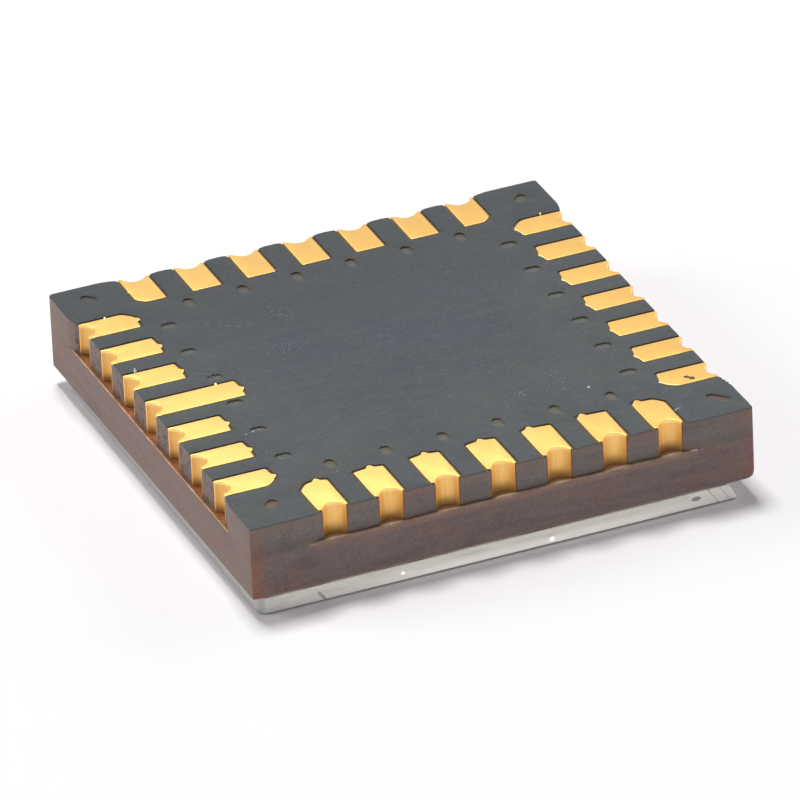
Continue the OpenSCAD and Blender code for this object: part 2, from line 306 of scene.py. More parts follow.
# %% The pads' inner ends
ENDS = {
    LEFT: dict(slope=0.025, round=0.03, tab=0.085, nub=-0.035, wide=(0.0, 0.02)),
    BACK: dict(slope=0.0, round=0.035, tab=0.0, nub=0.0, wide=(0.005, -0.02)),
    RIGHT: dict(slope=0.045, round=0.05, tab=0.05, nub=0.0, wide=(0.015, -0.015)),
    FRONT: dict(slope=0.05, round=0.03, tab=0.10, nub=0.0, wide=(0.0, 0.005)),
}
FRONT_NUBS = (0.16, 0.18, 0.10, -0.04, -0.04, -0.06, -0.09)
SET_BACK = 0.03
WORN_CORNER = 0.02
NUB_ROOT = 0.10
NUB_TIP = 0.035
CORNER_CUT = 0.19
CORNER_ROUND = {LEFT: 0.08, BACK: 0.08, RIGHT: 0.13, FRONT: 0.08}
rng = np.random.default_rng(28)
wander = rng.normal(0, 0.012, (4, PINS, 4))


def pad_length(side, place):
    return INDEX_PAD_LEN if (side, place) == (LEFT, 0) else PAD_LEN


def pad_end(side, place, grow=0.0):
    """A pad's way from its outer right corner, round the inner end, to its outer left corner.

    The end falls by slope from the nub to each side. An end pad's corner towards the package corner is cut
    off. With grow it is the way round the opening in the mask, which hardly follows the nub.
    """
    shape, x, half = ENDS[side], place * PITCH, PAD_W / 2 + grow
    d = wander[side, place + MIDDLE]
    end = EDGE_Y - pad_length(side, place) + 0.5 * d[0] - grow
    way, cuts, reach = {}, {}, {}
    for sign, wide in zip((1, -1), shape["wide"]):
        far, side_y = x + sign * (half + wide), end + shape["slope"]
        cut = CORNER_CUT + 0.4 * grow if sign * place == MIDDLE else 0
        bend = [(far, side_y)]
        if cut:
            bend = [(far, side_y + cut), (far - sign * cut, side_y - 0.3 * shape["slope"])]
        worn = WORN_CORNER if side == FRONT and sign > 0 and not grow else 0
        way[sign] = [(far - worn, edge_y(side)), (far, edge_y(side) - 0.20), *bend]
        cuts[sign] = [0.05, *[CORNER_ROUND[side] if cut else shape["round"] + grow] * len(bend)]
        reach[sign] = half - cut - NUB_ROOT - 0.02
    nub = shape["nub"] + (FRONT_NUBS[place + MIDDLE] if side == FRONT else 0)
    nub_x = x + float(np.clip(nub + d[1], -reach[-1], reach[1]))
    tab = max(0, shape["tab"] - 0.05) if grow else shape["tab"]
    root, tip = NUB_ROOT + 0.4 * grow, NUB_TIP + 0.4 * grow
    nose = [(nub_x + root, end), (nub_x + tip, end - tab), (nub_x - tip, end - 0.8 * tab + d[2]),
            (nub_x - 0.9 * root, end + 0.1 * tab)]
    if not tab:
        nose = []
    return rounded([*way[1], *nose, *way[-1][::-1]], [*cuts[1], *[0.02] * len(nose), *cuts[-1][::-1]])


def pad_ring(side, place):
    """A pad's whole outline, anticlockwise: down its left side, round the end, and past the half hole."""
    inner = pad_end(side, place)[::-1]
    back = SET_BACK if side == FRONT else 0
    outer = between(half_hole(side, place, NOTCH_R, *lips(side, place), back=back), inner[0, 0], inner[-1, 0])
    return np.vstack([inner[1:-1], outer])


print("pad outline", len(pad_ring(FRONT, 0)), "points")

# %% [markdown]
# ## From outlines to solid layers
#
# A layer could be an extrusion with a Bevel modifier, but bevels tangle on dense little arcs. A rim that is
# carried along the outline is surer: the rim is a profile of (inset, height) pairs, swept along every ring
# as a grid, and the flat faces are filled between the last rings. The filling is Blender's own constrained
# Delaunay triangulation, which takes holes and extra inner points, so a face can also carry gentle waves.

# %% Move a ring inwards
def inset(ring, distance):
    """Moves a closed ring into the material on its left: along the mean of its two edges' left normals,
    by the distance over the cosine of half the turn. The distance may differ from point to point."""
    distance = np.reshape(distance, (-1, 1))
    if not distance.any():
        return ring
    before = ring - np.roll(ring, 1, axis=0)
    after = np.roll(ring, -1, axis=0) - ring
    left = [np.column_stack([-e[:, 1], e[:, 0]]) / np.linalg.norm(e, axis=1)[:, None]
            for e in (before, after)]
    mean = left[0] + left[1]
    mean /= np.linalg.norm(mean, axis=1)[:, None]
    return ring + distance * mean / np.clip((mean * left[0]).sum(1), 0.6, 1)[:, None]


def smoothed(values):
    """Each number of a closed ring as the mean of itself and its two neighbours."""
    return (np.roll(values, 1) + values + np.roll(values, -1)) / 3


def tidy(ring):
    """Drops points that lie on the one before them, to a fifth of a micrometre."""
    gap = np.linalg.norm(ring - np.roll(ring, 1, axis=0), axis=1)
    return ring[gap > 2e-4]


# %% [markdown]
# To fill a flat face, its rings and extra points go into the triangulation, and only the triangles that lie
# in the material are kept.

# %% Fill a flat face
def fill(rings, inside=None):
    """Triangles of the flat face between an outer ring and its holes, as indices into the stacked rings.

    The triangulation knows nothing of holes. A triangle whose corners lie on one ring, and which runs
    clockwise when they are taken in the ring's order, lies in a hole or outside the outer ring, and is
    dropped. Rings that cross would add points, so that is reported.
    """
    counts = [len(r) for r in rings]
    starts = np.cumsum([0, *counts[:-1]])
    edges = np.vstack([np.column_stack([s + np.arange(n), s + (np.arange(n) + 1) % n])
                       for s, n in zip(starts, counts)])
    points = np.vstack([*rings, *([] if inside is None else [inside])])
    found = geometry.delaunay_2d_cdt([Vector(p) for p in points], edges.tolist(), [], 1, 1e-7)
    index = np.array([source[0] if source else -1 for source in found[3]])
    if (index < 0).any():
        crossing = [tuple(round(c, 3) for c in found[0][k]) for k in np.flatnonzero(index < 0)[:3]]
        print("  fill added", int((index < 0).sum()), "points where edges cross:", crossing)
    faces = np.sort(index[np.array(found[2])], axis=1)
    faces = faces[faces[:, 0] >= 0]
    a, b, c = (points[faces[:, k]] for k in range(3))
    turn = (b - a)[:, 0] * (c - a)[:, 1] - (b - a)[:, 1] * (c - a)[:, 0]
    of_ring = np.repeat(np.arange(len(rings) + 1), [*counts, len(points) - sum(counts)])[faces]
    alone = (of_ring == of_ring[:, :1]).all(1) & (of_ring[:, 0] < len(rings))
    faces[turn < 0] = faces[turn < 0][:, ::-1]
    return points, faces[~(alone & (turn < 0))]


# %% [markdown]
# A closed layer is then a stack of outlines with walls between them and a filled face at each end. Mostly
# the outlines follow from one set of rings and a rim's profile, and a few pieces give their own at each
# level.

# %% Closed layers
def shell(rings, rim, inside=None, lift=None):
    """A closed layer: the rim's (inset, height) pairs, lowest first, swept along every ring, and two faces.

    The rim has a row for each level, or for each level a row for each point of rings that are tidy by then.
    lift(x, y) is added to the height of the upper face and of its rim, and fades out down the rim.
    """
    rim = np.asarray(rim, float)
    if rim.ndim == 2:
        rings = [tidy(r) for r in rings]
        rim = np.repeat(rim[:, None, :], sum(len(r) for r in rings), axis=1)
    cuts = np.cumsum([len(r) for r in rings])[:-1]
    rows = [[inset(r, d) for r, d in zip(rings, np.split(level[:, 0], cuts))] for level in rim]
    return stacked(rows, rim[:, :, 1], inside, lift)


def stacked(rows, height, inside=None, lift=None):
    """A closed layer from its outlines at rising levels: rows of rings, whose points answer one another."""
    sizes = np.array([len(r) for r in rows[0]])
    total, cuts = int(sizes.sum()), np.cumsum(sizes)[:-1]
    rows = [np.vstack(r) for r in rows]
    fade = (height - height[0]) / (height[-1] - height[0])
    lift = lift or (lambda x, y: 0 * x)
    points = [np.column_stack([xy, z + f * lift(*xy.T)]) for xy, z, f in zip(rows, height, fade)]
    after = np.concatenate([s + (np.arange(n) + 1) % n for s, n in zip([0, *cuts], sizes)])
    here = np.arange(total)
    band = np.column_stack([here, after, after + total, here + total])
    walls = [band + k * total for k in range(len(rows) - 1)]
    flat, upper = fill(np.split(rows[-1], cuts), inside)
    extra = flat[total:]
    points.append(np.column_stack([extra, height[-1, 0] + lift(*extra.T)]))
    upper = upper + (len(rows) - 1) * total
    _, lower = fill(np.split(rows[0], cuts))
    return np.vstack(points), [*walls, upper, lower[:, ::-1]]


def round_rim(z0, z1, top=0.0, foot=0.0):
    """A rim from z0 up to z1 whose edges may be quarter rounds: inset r (1 - cos a), height r sin a."""
    a = np.radians(np.linspace(0, 90, 5))[:, None]
    start, end = np.array([[0, z0]]), np.array([[0, z1]])
    if foot:
        start = np.hstack([foot * (1 - np.cos(a)), z0 + foot - foot * np.sin(a)])[::-1]
    if top:
        end = np.hstack([top * (1 - np.cos(a)), z1 - top + top * np.sin(a)])
    return np.vstack([start, end])


# %% [markdown]
# A finished piece is one object at the origin. It may be built from several closed parts, and each part can
# take another of the piece's finishes, so a list of parts with their finish numbers is all that is needed.

# %% Make one piece from its parts
CREASE = 38


def piece(name, parts, finishes, stands_for=()):
    """One mesh object from parts of (points in mm, blocks of faces, finish number or one for each block)."""
    points, faces, numbers, start = [], [], [], 0
    for part_points, blocks, number in parts:
        points.append(part_points)
        for k, block in enumerate(blocks):
            faces += (np.asarray(block) + start).tolist()
            numbers += [number if isinstance(number, int) else number[k]] * len(block)
        start += len(part_points)
    mesh = bpy.data.meshes.new(name)
    mesh.from_pydata((np.vstack(points) * MM).tolist(), [], faces)
    for finish in finishes:
        mesh.materials.append(finish)
    mesh.polygons.foreach_set("material_index", numbers)
    mesh.shade_smooth()
    mesh.set_sharp_from_angle(angle=math.radians(CREASE))
    mesh.update()
    made = bpy.data.objects.new(name, mesh)
    bpy.context.scene.collection.objects.link(made)
    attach(made, "root")
    if stands_for:
        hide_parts(*stands_for)
    print(f"{name}: {start} points, {len(faces)} faces")


# %% [markdown]
# ## Finishes
#
# A finish is a small program of shader nodes. Written one node at a time it is long and hard to follow, so
# a socket is wrapped in a value that understands + - * / and a few named steps. Every finish works from
# Object coordinates, which are the package's own x, y and z, turned into millimetres first. Most colours
# are built as a painter would: a base colour, and coats that each cover what lies below by some amount.

# %% Values that write their own Math nodes
def linear(code):
    """A colour written as #rrggbb, turned from the screen's curve into the light's own values."""
    c = np.array([int(code[k : k + 2], 16) for k in (1, 3, 5)]) / 255
    return (*np.where(c <= 0.04045, c / 12.92, ((c + 0.055) / 1.055) ** 2.4), 1.0)


class Value:
    """A number, vector or colour inside a finish. Arithmetic on it adds a Math node."""

    def __init__(self, finish, socket):
        self.finish, self.socket = finish, socket

    def math(self, operation, *others):
        return self.finish.node("Math", {"operation": operation}, dict(enumerate((self, *others))))

    def __add__(self, other):
        return self.math("ADD", other)

    def __sub__(self, other):
        return self.math("SUBTRACT", other)

    def __rsub__(self, other):
        return self.finish.node("Math", {"operation": "SUBTRACT"}, {0: other, 1: self})

    def __mul__(self, other):
        return self.math("MULTIPLY", other)

    def __truediv__(self, other):
        return self.math("DIVIDE", other)

    __radd__ = __add__
    __rmul__ = __mul__

    def size(self):
        return self.math("ABSOLUTE")

    def above(self, start, end):
        """0 below start, 1 above end, and smooth between them. With start above end it falls instead."""
        settings = {"interpolation_type": "SMOOTHSTEP"}
        if start < end:
            return self.finish.node("MapRange", settings, {"Value": self, "From Min": start, "From Max": end})
        return 1 - self.above(end, start)


# %% [markdown]
# A finish holds the nodes of one material. Its methods are the few patterns that all finishes share: noise,
# cells, soft ovals, coats of colour and bumps.

# %% A finish and its patterns
class Finish:
    """A material, or the world, whose nodes are written as expressions."""

    def __init__(self, name, kind="materials"):
        self.block = getattr(bpy.data, kind).new(name)
        self.block.use_nodes = True
        self.tree = self.block.node_tree
        self.tree.nodes.clear()

    def node(self, kind, settings=None, inputs=None, out=0):
        """Any shader node: its settings first, a ramp's stops among them, then its inputs' values or links.

        A colour may be written as #rrggbb.
        """
        made = self.tree.nodes.new("ShaderNode" + kind)
        for name, value in (settings or {}).items():
            if name == "stops":
                ramp = made.color_ramp
                while len(ramp.elements) < len(value):
                    ramp.elements.new(0.5)
                for element, (place, colour) in zip(ramp.elements, value):
                    element.position, element.color = place, linear(colour)
            else:
                setattr(made, name, value)
        for key, value in (inputs or {}).items():
            if isinstance(value, Value):
                self.tree.links.new(value.socket, made.inputs[key])
            else:
                made.inputs[key].default_value = linear(value) if isinstance(value, str) else value
        return Value(self, made.outputs[out]) if len(made.outputs) else None

    def place(self, scale=(1, 1, 1)):
        """The package's x, y and z in millimetres, each times a scale that stretches a pattern."""
        return self.stretch(self.node("TexCoord", out="Object"), tuple(s / MM for s in scale))

    def stretch(self, vector, scale):
        return self.node("VectorMath", {"operation": "MULTIPLY"}, {0: vector, 1: scale})

    def axes(self, vector):
        """The three numbers of a vector."""
        split = self.node("SeparateXYZ", inputs={0: vector})
        return [Value(self, split.socket.node.outputs[k]) for k in range(3)]

    def normal(self):
        """The x, y and z of the direction in which the surface faces."""
        return self.axes(self.node("NewGeometry", out="Normal"))

    def reach(self, x, y):
        """The larger and the smaller of |x| and |y|: how far out on a square, and how near a corner of it."""
        return x.size().math("MAXIMUM", y.size()), x.size().math("MINIMUM", y.size())

    def spot(self, across, up, width, height):
        """1 inside an oval and 0 outside: (across/width)^2 + (up/height)^2 under 1, with a soft edge."""
        across, up = across / width, up / height
        return (across * across + up * up).above(1.3, 0.6)

    def noise(self, vector, scale, detail=3, rough=0.5, warp=0.0):
        inputs = {"Vector": vector, "Scale": scale, "Detail": detail, "Roughness": rough, "Distortion": warp}
        return self.node("TexNoise", inputs=inputs)

    def cells(self, vector, scale):
        """The distance to the nearest of many scattered points."""
        inputs = {"Vector": vector, "Scale": scale, "Randomness": 1.0}
        return self.node("TexVoronoi", {"feature": "F1"}, inputs)

    def mix(self, amount, a, b, blend="MIX"):
        """Colour a turned into colour b by an amount from 0 to 1."""
        return self.node("Mix", {"data_type": "RGBA", "blend_type": blend}, {0: amount, 6: a, 7: b}, out=2)

    def over(self, colour, *coats):
        """A base colour under coats: each (amount, colour) in turn covers what lies below by its amount."""
        for amount, coat in coats:
            colour = self.mix(amount, colour, coat)
        return colour

    def bump(self, height, depth, onto=None):
        """A normal bent by a height from 0 to 1 that stands for so many millimetres."""
        inputs = {"Height": height, "Distance": depth * MM, "Strength": 1.0}
        if onto:
            inputs["Normal"] = onto
        return self.node("Bump", inputs=inputs)

    def surface(self, **sockets):
        """The Principled surface and the material output. An underscore in a name stands for a space."""
        inputs = {name.replace("_", " "): value for name, value in sockets.items()}
        return self.show(self.node("BsdfPrincipled", inputs=inputs))

    def show(self, shader):
        self.node("OutputMaterial", inputs={"Surface": shader})
        print("finish", self.block.name, len(self.tree.nodes), "nodes")
        return self.block


# %% [markdown]
# ### Gold plating
#
# Thin gold over nickel is a rough mirror: a metal whose own colour tints all that it reflects. On the flat
# pads it shows the bright room, with a fine satin grain. Inside the half holes the drill left faint upright
# streaks. Light and shade are painted into its colour as well. Painted shade darkens the plating towards
# the foot of each hole. The pads' straight rims and the steep faces just under the top are paler, as
# painted highlights. The hole rims are darker, to tone down the lamp's highlight there. A painted fall of the
# reflected light runs from paler lemon in the front left to darker orange towards the back right.

# %% Gold
def gold_finish():
    f = Finish("gold_plating")
    p = f.place()
    x, y, z = f.axes(p)
    # across and warm paint a fall of the reflected light: paler lemon in the front left, darker orange
    # towards the back right, broken up by random tone.
    across = 0.5 + 0.05 * x + 0.05 * y
    warm = (across + 0.5 * (f.noise(p, 1.6, 3) - 0.5)).above(0.05, 0.75)
    stain = f.noise(p, 6, 4, 0.65).above(0.60, 0.78)
    streaks = f.noise(f.place((1, 1, 0.05)), 16, 3, 0.6)
    facing = f.normal()
    level = facing[2].size()
    rim, outward = level.above(0.985, 0.8), f.reach(x, y)[0]
    steep = level.above(0.5, 0.2)
    rim_end = PAD_Z - 0.06 + 0.01 * f.noise(p, 8, 1)
    upright = steep * (rim_end - z).above(-0.03, 0.05)
    wall = f.over(
        "#f4c475",
        (streaks.above(0.2, 0.8), "#fbd488"),
        (0.35 * x.above(-5.0, -5.3), "#dba95c"))
    # foot: painted shade, the plating darker towards the foot of each hole where it meets the ledge.
    foot = (z + 0.12 * f.noise(p, 5, 2)).above(BASE_Z + 0.33, BASE_Z + 0.05) * upright
    end_face = facing[1].above(-0.9, -0.99) * y.above(-5.60, -5.61)
    colour = f.over(
        "#fcd079",
        (warm, "#e6b966"),
        (0.5 * across.above(0.6, 1.1) + 0.4 * (x - y).above(3, 9), "#dcae5f"),
        (0.3 * stain, "#d9a04e"),
        # Painted highlight on the pads' straight rims, and a darker painted colour on the hole rims that
        # tones down the lamp's highlight there.
        (0.6 * rim * outward.above(5.36, 5.30), "#fff0b8"),
        (0.6 * rim * outward.above(5.30, 5.36), "#e2b05c"),
        # Painted highlight: steep faces just under the top are paler; lower down the wall colour covers it.
        (steep, "#ffe094"),
        (upright, wall),
        (0.55 * foot, "#86633f"),
        (0.9 * end_face, "#6b5547"))
    rough = 0.36 + 0.12 * f.noise(p, 5, 3) + 0.14 * upright
    normal = f.bump(f.noise(p, 24, 3, 0.6), 0.0012, f.bump(streaks, 0.001))
    return f.surface(Base_Color=colour, Metallic=1.0, Roughness=rough, Normal=normal)


# %% [markdown]
# ### Solder mask
#
# The coat is a dark satin resin. Seen at a low angle it takes much of its slate tone from the bright room,
# so its own colour is darker than the picture suggests. Its surface carries what makes it look real up
# close: a slow cloudiness, a bluer middle where the copper plane lies under it, faint greenish and plum
# patches, hair-fine scratches and dashes that mostly run one way, dark pinholes, and groups of pale dust
# specks. Pinholes and specks are the cells of Voronoi patterns, of which a second pattern keeps only a few.
# Inside the openings the coat's cut edge is painted dark brown, as painted shade, a little paler in front and
# on the right and at the pits and corners. Along the routed edge it is pale grey, partly a painted highlight
# on the rounded lip and partly chipped resin. The coat's face is also painted darker towards the back, as a
# painted fall of light.

# %% Solder mask
def mask_finish():
    f = Finish("solder_mask_resin")
    p = f.place()
    x, y, _ = f.axes(p)
    far, near = f.reach(x, y)
    cloud = f.noise(p, 0.55, 4, 0.6, 0.6)
    fine = f.noise(p, 9, 4, 0.7)
    weave = f.noise(f.place((0.5, 2.6, 1)), 1.5, 3, 0.6)
    centre = ((x * x + (y - 1.0) * (y - 1.0)) / 20).above(1.0, 0.0)
    hue = f.noise(p, 0.9, 3, 0.55, 0.5)
    aslant = f.node("VectorRotate", {"rotation_type": "Z_AXIS"}, {"Vector": p, "Angle": math.radians(-26)})
    scratch = f.noise(f.stretch(aslant, (1.1, 24, 1)), 1.0, 2).above(0.68, 0.76)
    scratch = scratch * f.noise(p, 0.9, 2).above(0.46, 0.6)
    dashes = f.noise(f.stretch(aslant, (3.2, 17, 1)), 1.0, 2)
    few = f.noise(p, 0.8, 3, 0.6).above(0.56, 0.70)
    dust = f.cells(p, 11.0).above(0.19, 0.08) * few * f.noise(p, 6.0, 1).above(0.5, 0.62)
    pinhole = f.cells(p, 3.4).above(0.13, 0.07) * f.noise(p, 2.1, 1).above(0.5, 0.56)
    face = f.over(
        "#3a4043",
        (cloud.above(0.3, 0.7), "#484c4e"),
        (0.6 * centre, "#333d49"),
        (0.35 * hue.above(0.52, 0.66), "#434b43"),
        (0.35 * hue.above(0.48, 0.34), "#454350"),
        (0.35 * weave.above(0.45, 0.75), "#4d5152"),
        (0.6 * fine.above(0.52, 0.75), "#5c605f"),
        (0.5 * fine.above(0.45, 0.25), "#2a2f32"),
        # Painted fall of light: the coat darker towards the back.
        (0.08 + 0.4 * y.above(0.5, 5.0), "#25282b"),
        (0.20 * dashes.above(0.62, 0.74), "#6f7474"),
        (0.35 * dashes.above(0.38, 0.26), "#25292c"),
        (0.16 * scratch, "#989d9b"),
        (0.8 * dust, "#b3b8b5"),
        (0.55 * pinhole, "#25221f"))
    # The cut edge's colour is painted light and shade. The walls of the openings are painted dark brown as
    # shade, paler in front, on the right and at the pits and corners. The routed edge is a pale grey that is
    # partly a painted highlight on the rounded lip and partly chipped resin.
    cut_edge_shade_and_highlight = f.over(
        "#362718",
        (f.noise(p, 9, 3, 0.7).above(0.42, 0.62), "#56402a"),
        (0.7 * y.above(-4.1, -4.3) + 0.5 * x.above(4.1, 4.3), "#5f4b30"),
        (0.8 * (far.above(4.2, 4.1) + near.above(4.3, 4.5)), "#74726c"),
        (far.above(5.54, 5.58), "#6a6460"))
    colour = f.mix(f.normal()[2].above(0.75, 0.35), face, cut_edge_shade_and_highlight)
    rough = 0.46 + 0.14 * cloud + 0.2 * scratch
    normal = f.bump(fine, 0.003, f.bump(f.noise(p, 1.1, 3, 0.55), 0.02))
    return f.surface(Base_Color=colour, Roughness=rough, Normal=normal, Specular_IOR_Level=0.35)


# %% [markdown]
# ### Laminate
#
# A sawn or routed laminate shows its layers end on: bundles of glass in brown resin. Dust from the cut
# hides most of them, so the sides are a soft grey brown, with a fine grain, faint level streaks, and
# greenish dark patches. Three places differ. Light passes through the resin at the upright edges, so a
# narrow band beside them glows red, most of all low down; this glow is painted into the colour, with a
# little more low down at the right. On the left side the router tore the tongues between the holes, which
# are darker and mottled. And in front a browner band runs along the ledge, and the lowest edge is rubbed
# pale. Besides, every face that looks left takes a browner, darker tint, painted shade for how the light
# falls on that side. A noise that is stretched along x and y and squeezed along z serves every side at once.

# %% Laminate
def laminate_finish(name, shade, streak, red):
    f = Finish(name)
    p = f.place()
    x, y, z = f.axes(p)
    face_x, face_y, face_z = f.normal()
    left, front = face_x.above(-0.5, -0.8), face_y.above(-0.5, -0.8)
    layers = f.noise(f.place((0.45, 0.45, 4)), 1.5, 4, 0.6, 0.3)
    fibres = f.noise(f.place((5, 5, 14)), 2.4, 4, 0.7)
    grain = f.noise(p, 13, 3, 0.7)
    mottle = f.noise(p, 7, 3, 0.6)
    blotch = f.noise(f.place((0.6, 0.6, 1.4)), 1.2, 3)
    patch = f.noise(f.place((0.7, 0.7, 1.1)), 1.0, 2, 0.5, 0.6)
    # glow: a painted red glow near the upright corners of the front faces, most of all low down, standing in
    # for light through the resin.
    glow = (f.reach(x, y)[1] + 0.25 * (blotch - 0.5)).above(5.25, 5.72) * face_y.above(-0.3, -0.7)
    glow = glow * (0.45 + 0.55 * z.above(BASE_Z + 0.07, BASE_Z - 0.33)) * (0.75 - 0.35 * x.above(0, 4))
    torn = left * x.above(-5.67, -5.65)
    upper = z.above(BASE_Z - 0.01, BASE_Z + 0.01)
    ledge = z.above(PLY_Z - 0.14, PLY_Z) * z.above(BASE_Z + 0.02, BASE_Z - 0.01) * x.size().above(4.5, 4.2)
    colour = f.over(
        shade,
        (0.6 * layers.above(0.3, 0.7), streak),
        (0.35 * blotch.above(0.48, 0.75), red),
        (0.35 * patch.above(0.55, 0.7), "#505350"),
        (glow, "#a1664c"),
        # More painted glow: redder low down at the right end.
        (0.2 * x.above(4.7, 5.6) * z.above(BASE_Z + 0.07, WALL_Z + 0.45), red),
        (0.15 * torn, "#3c3735"),
        (torn * mottle.above(0.5, 0.36), "#2f2b2d"),
        (0.35 * fibres.above(0.56, 0.8) + 0.25 * grain.above(0.54, 0.7), "#a39a96"),
        (0.25 * fibres.above(0.42, 0.25) + 0.25 * grain.above(0.46, 0.3), "#3d3434"),
        # Painted shade: faces that look left take a browner, darker tint, for how the light falls on that
        # side.
        (0.38 * left, "#6c4f3a"),
        (0.6 * front * z.above(WALL_Z + 0.05, WALL_Z), "#a8928a"),
        (0.5 * front * ledge, "#a98670"),
        (0.2 * front * z.above(TOP_Z - 0.25, TOP_Z - 0.02), "#a08472"),
        (0.2 * front * upper * z.above(BASE_Z + 0.35, BASE_Z + 0.07), "#453a36"),
        (face_z.above(0.6, 0.9), "#5a4d3c"))
    normal = f.bump(fibres, 0.004, f.bump(mottle, 0.006))
    return f.surface(Base_Color=colour, Roughness=0.55, Normal=normal, Specular_IOR_Level=0.35)


# %% [markdown]
# ### Adhesive film, pit floors and burr
#
# The film that joins the boards comes to light on the narrow ledge in front of the router cut. It is orange
# brown resin there, dark in the holes, and in front it is frayed pale towards the outside. On the upright
# sides it can't be told from the boards, so it takes their finish there. The pits in the mask are filled
# vias: their floor shows a thin olive skin, or near the package corners bare resin, brown in front and red
# on the right.

# %% Film, pit floor and burr
def film_finish():
    f = Finish("bond_film_resin")
    p = f.place()
    x, y, _ = f.axes(p)
    rub = f.noise(p, 3.5, 4, 0.65)
    specks = f.noise(p, 16, 3, 0.7)
    frayed = (f.reach(x, y)[0] + 0.06 * (rub - 0.5)).above(5.50, 5.66)
    colour = f.over(
        "#64402a",
        (rub.above(0.35, 0.65), "#8a5a32"),
        (0.85 * y.above(-5.0, -5.3), "#86746c"),
        (0.85 * frayed * y.above(-5.3, -5.45), "#9f846e"),
        (0.6 * specks.above(0.45, 0.7), "#4a3226"),
        (0.7 * specks.above(0.30, 0.22), "#d9b98a"))
    return f.surface(Base_Color=colour, Roughness=0.5, Normal=f.bump(rub, 0.005), Specular_IOR_Level=0.4)


def pit_finish():
    f = Finish("pit_floor_resin")
    p = f.place()
    x, y, _ = f.axes(p)
    grain = f.noise(p, 12, 4, 0.7)
    skin = f.over(
        "#4b4d47",
        (grain.above(0.35, 0.65), "#5f5e56"),
        (0.6 * y.above(-3.0, -3.6), "#565439"),
        (0.6 * y.above(3.0, 3.6), "#4e433e"))
    bare = f.over(
        "#6e523c",
        (y.above(-1, 1), "#4f4b3a"),
        ((x - y).above(4, 8), "#5c463f"),
        ((y - x).above(4, 8), "#3e3c39"),
        (0.5 * grain.above(0.4, 0.6), "#3f4242"))
    colour = f.mix(f.reach(x, y)[1].above(4.3, 4.7), skin, bare)
    return f.surface(Base_Color=colour, Roughness=0.5, Normal=f.bump(grain, 0.003))


def burr_finish():
    f = Finish("frayed_resin")
    p = f.place()
    x, y, _ = f.axes(p)
    grain = f.noise(p, 18, 4, 0.7)
    left, front = x.above(-5.4, -5.6), y.above(-5.4, -5.6)
    colour = f.over(
        "#9a8370",
        (grain.above(0.35, 0.65), "#c4ab93"),
        (0.6 * left, "#bd8a62"),
        (left * grain.above(0.56, 0.66), "#f1e8dc"),
        (0.3 * front, "#8c6f59"),
        (0.8 * x.above(4.2, 4.35) * front, "#e6ddd4"))
    return f.surface(Base_Color=colour, Roughness=0.6, Normal=f.bump(grain, 0.004))


# %% [markdown]
# ### Glass and its adhesive
#
# The window was diced out of a sheet, so its rim is ground: a pale grey with wiped streaks along it. Light
# is painted into the rim. It glows, an emission that stands in for light wandering about in the plate, and
# the glow is strongest at the right end, where it also lights the paper. Its lower half is painted brighter,
# and its left side and left end take painted shade. It has a few marks of its own: a dark oval spot and two
# fine oblique lines near the right end, a gash near the left one, and two white bubbles, painted as glowing
# white glints. A dark line, a painted contact shadow, marks where it stands on the paper. Only the two large
# faces are clear. The adhesive is a pale resin that squeezed out a little round the rim.

# %% Glass, ground rim and adhesive
def clear_glass():
    f = Finish("window_glass_clear")
    smear = f.noise(f.place(), 0.6, 3)
    return f.surface(Base_Color="#eef5f0", Transmission_Weight=1.0, IOR=1.5, Roughness=0.02 + 0.04 * smear)


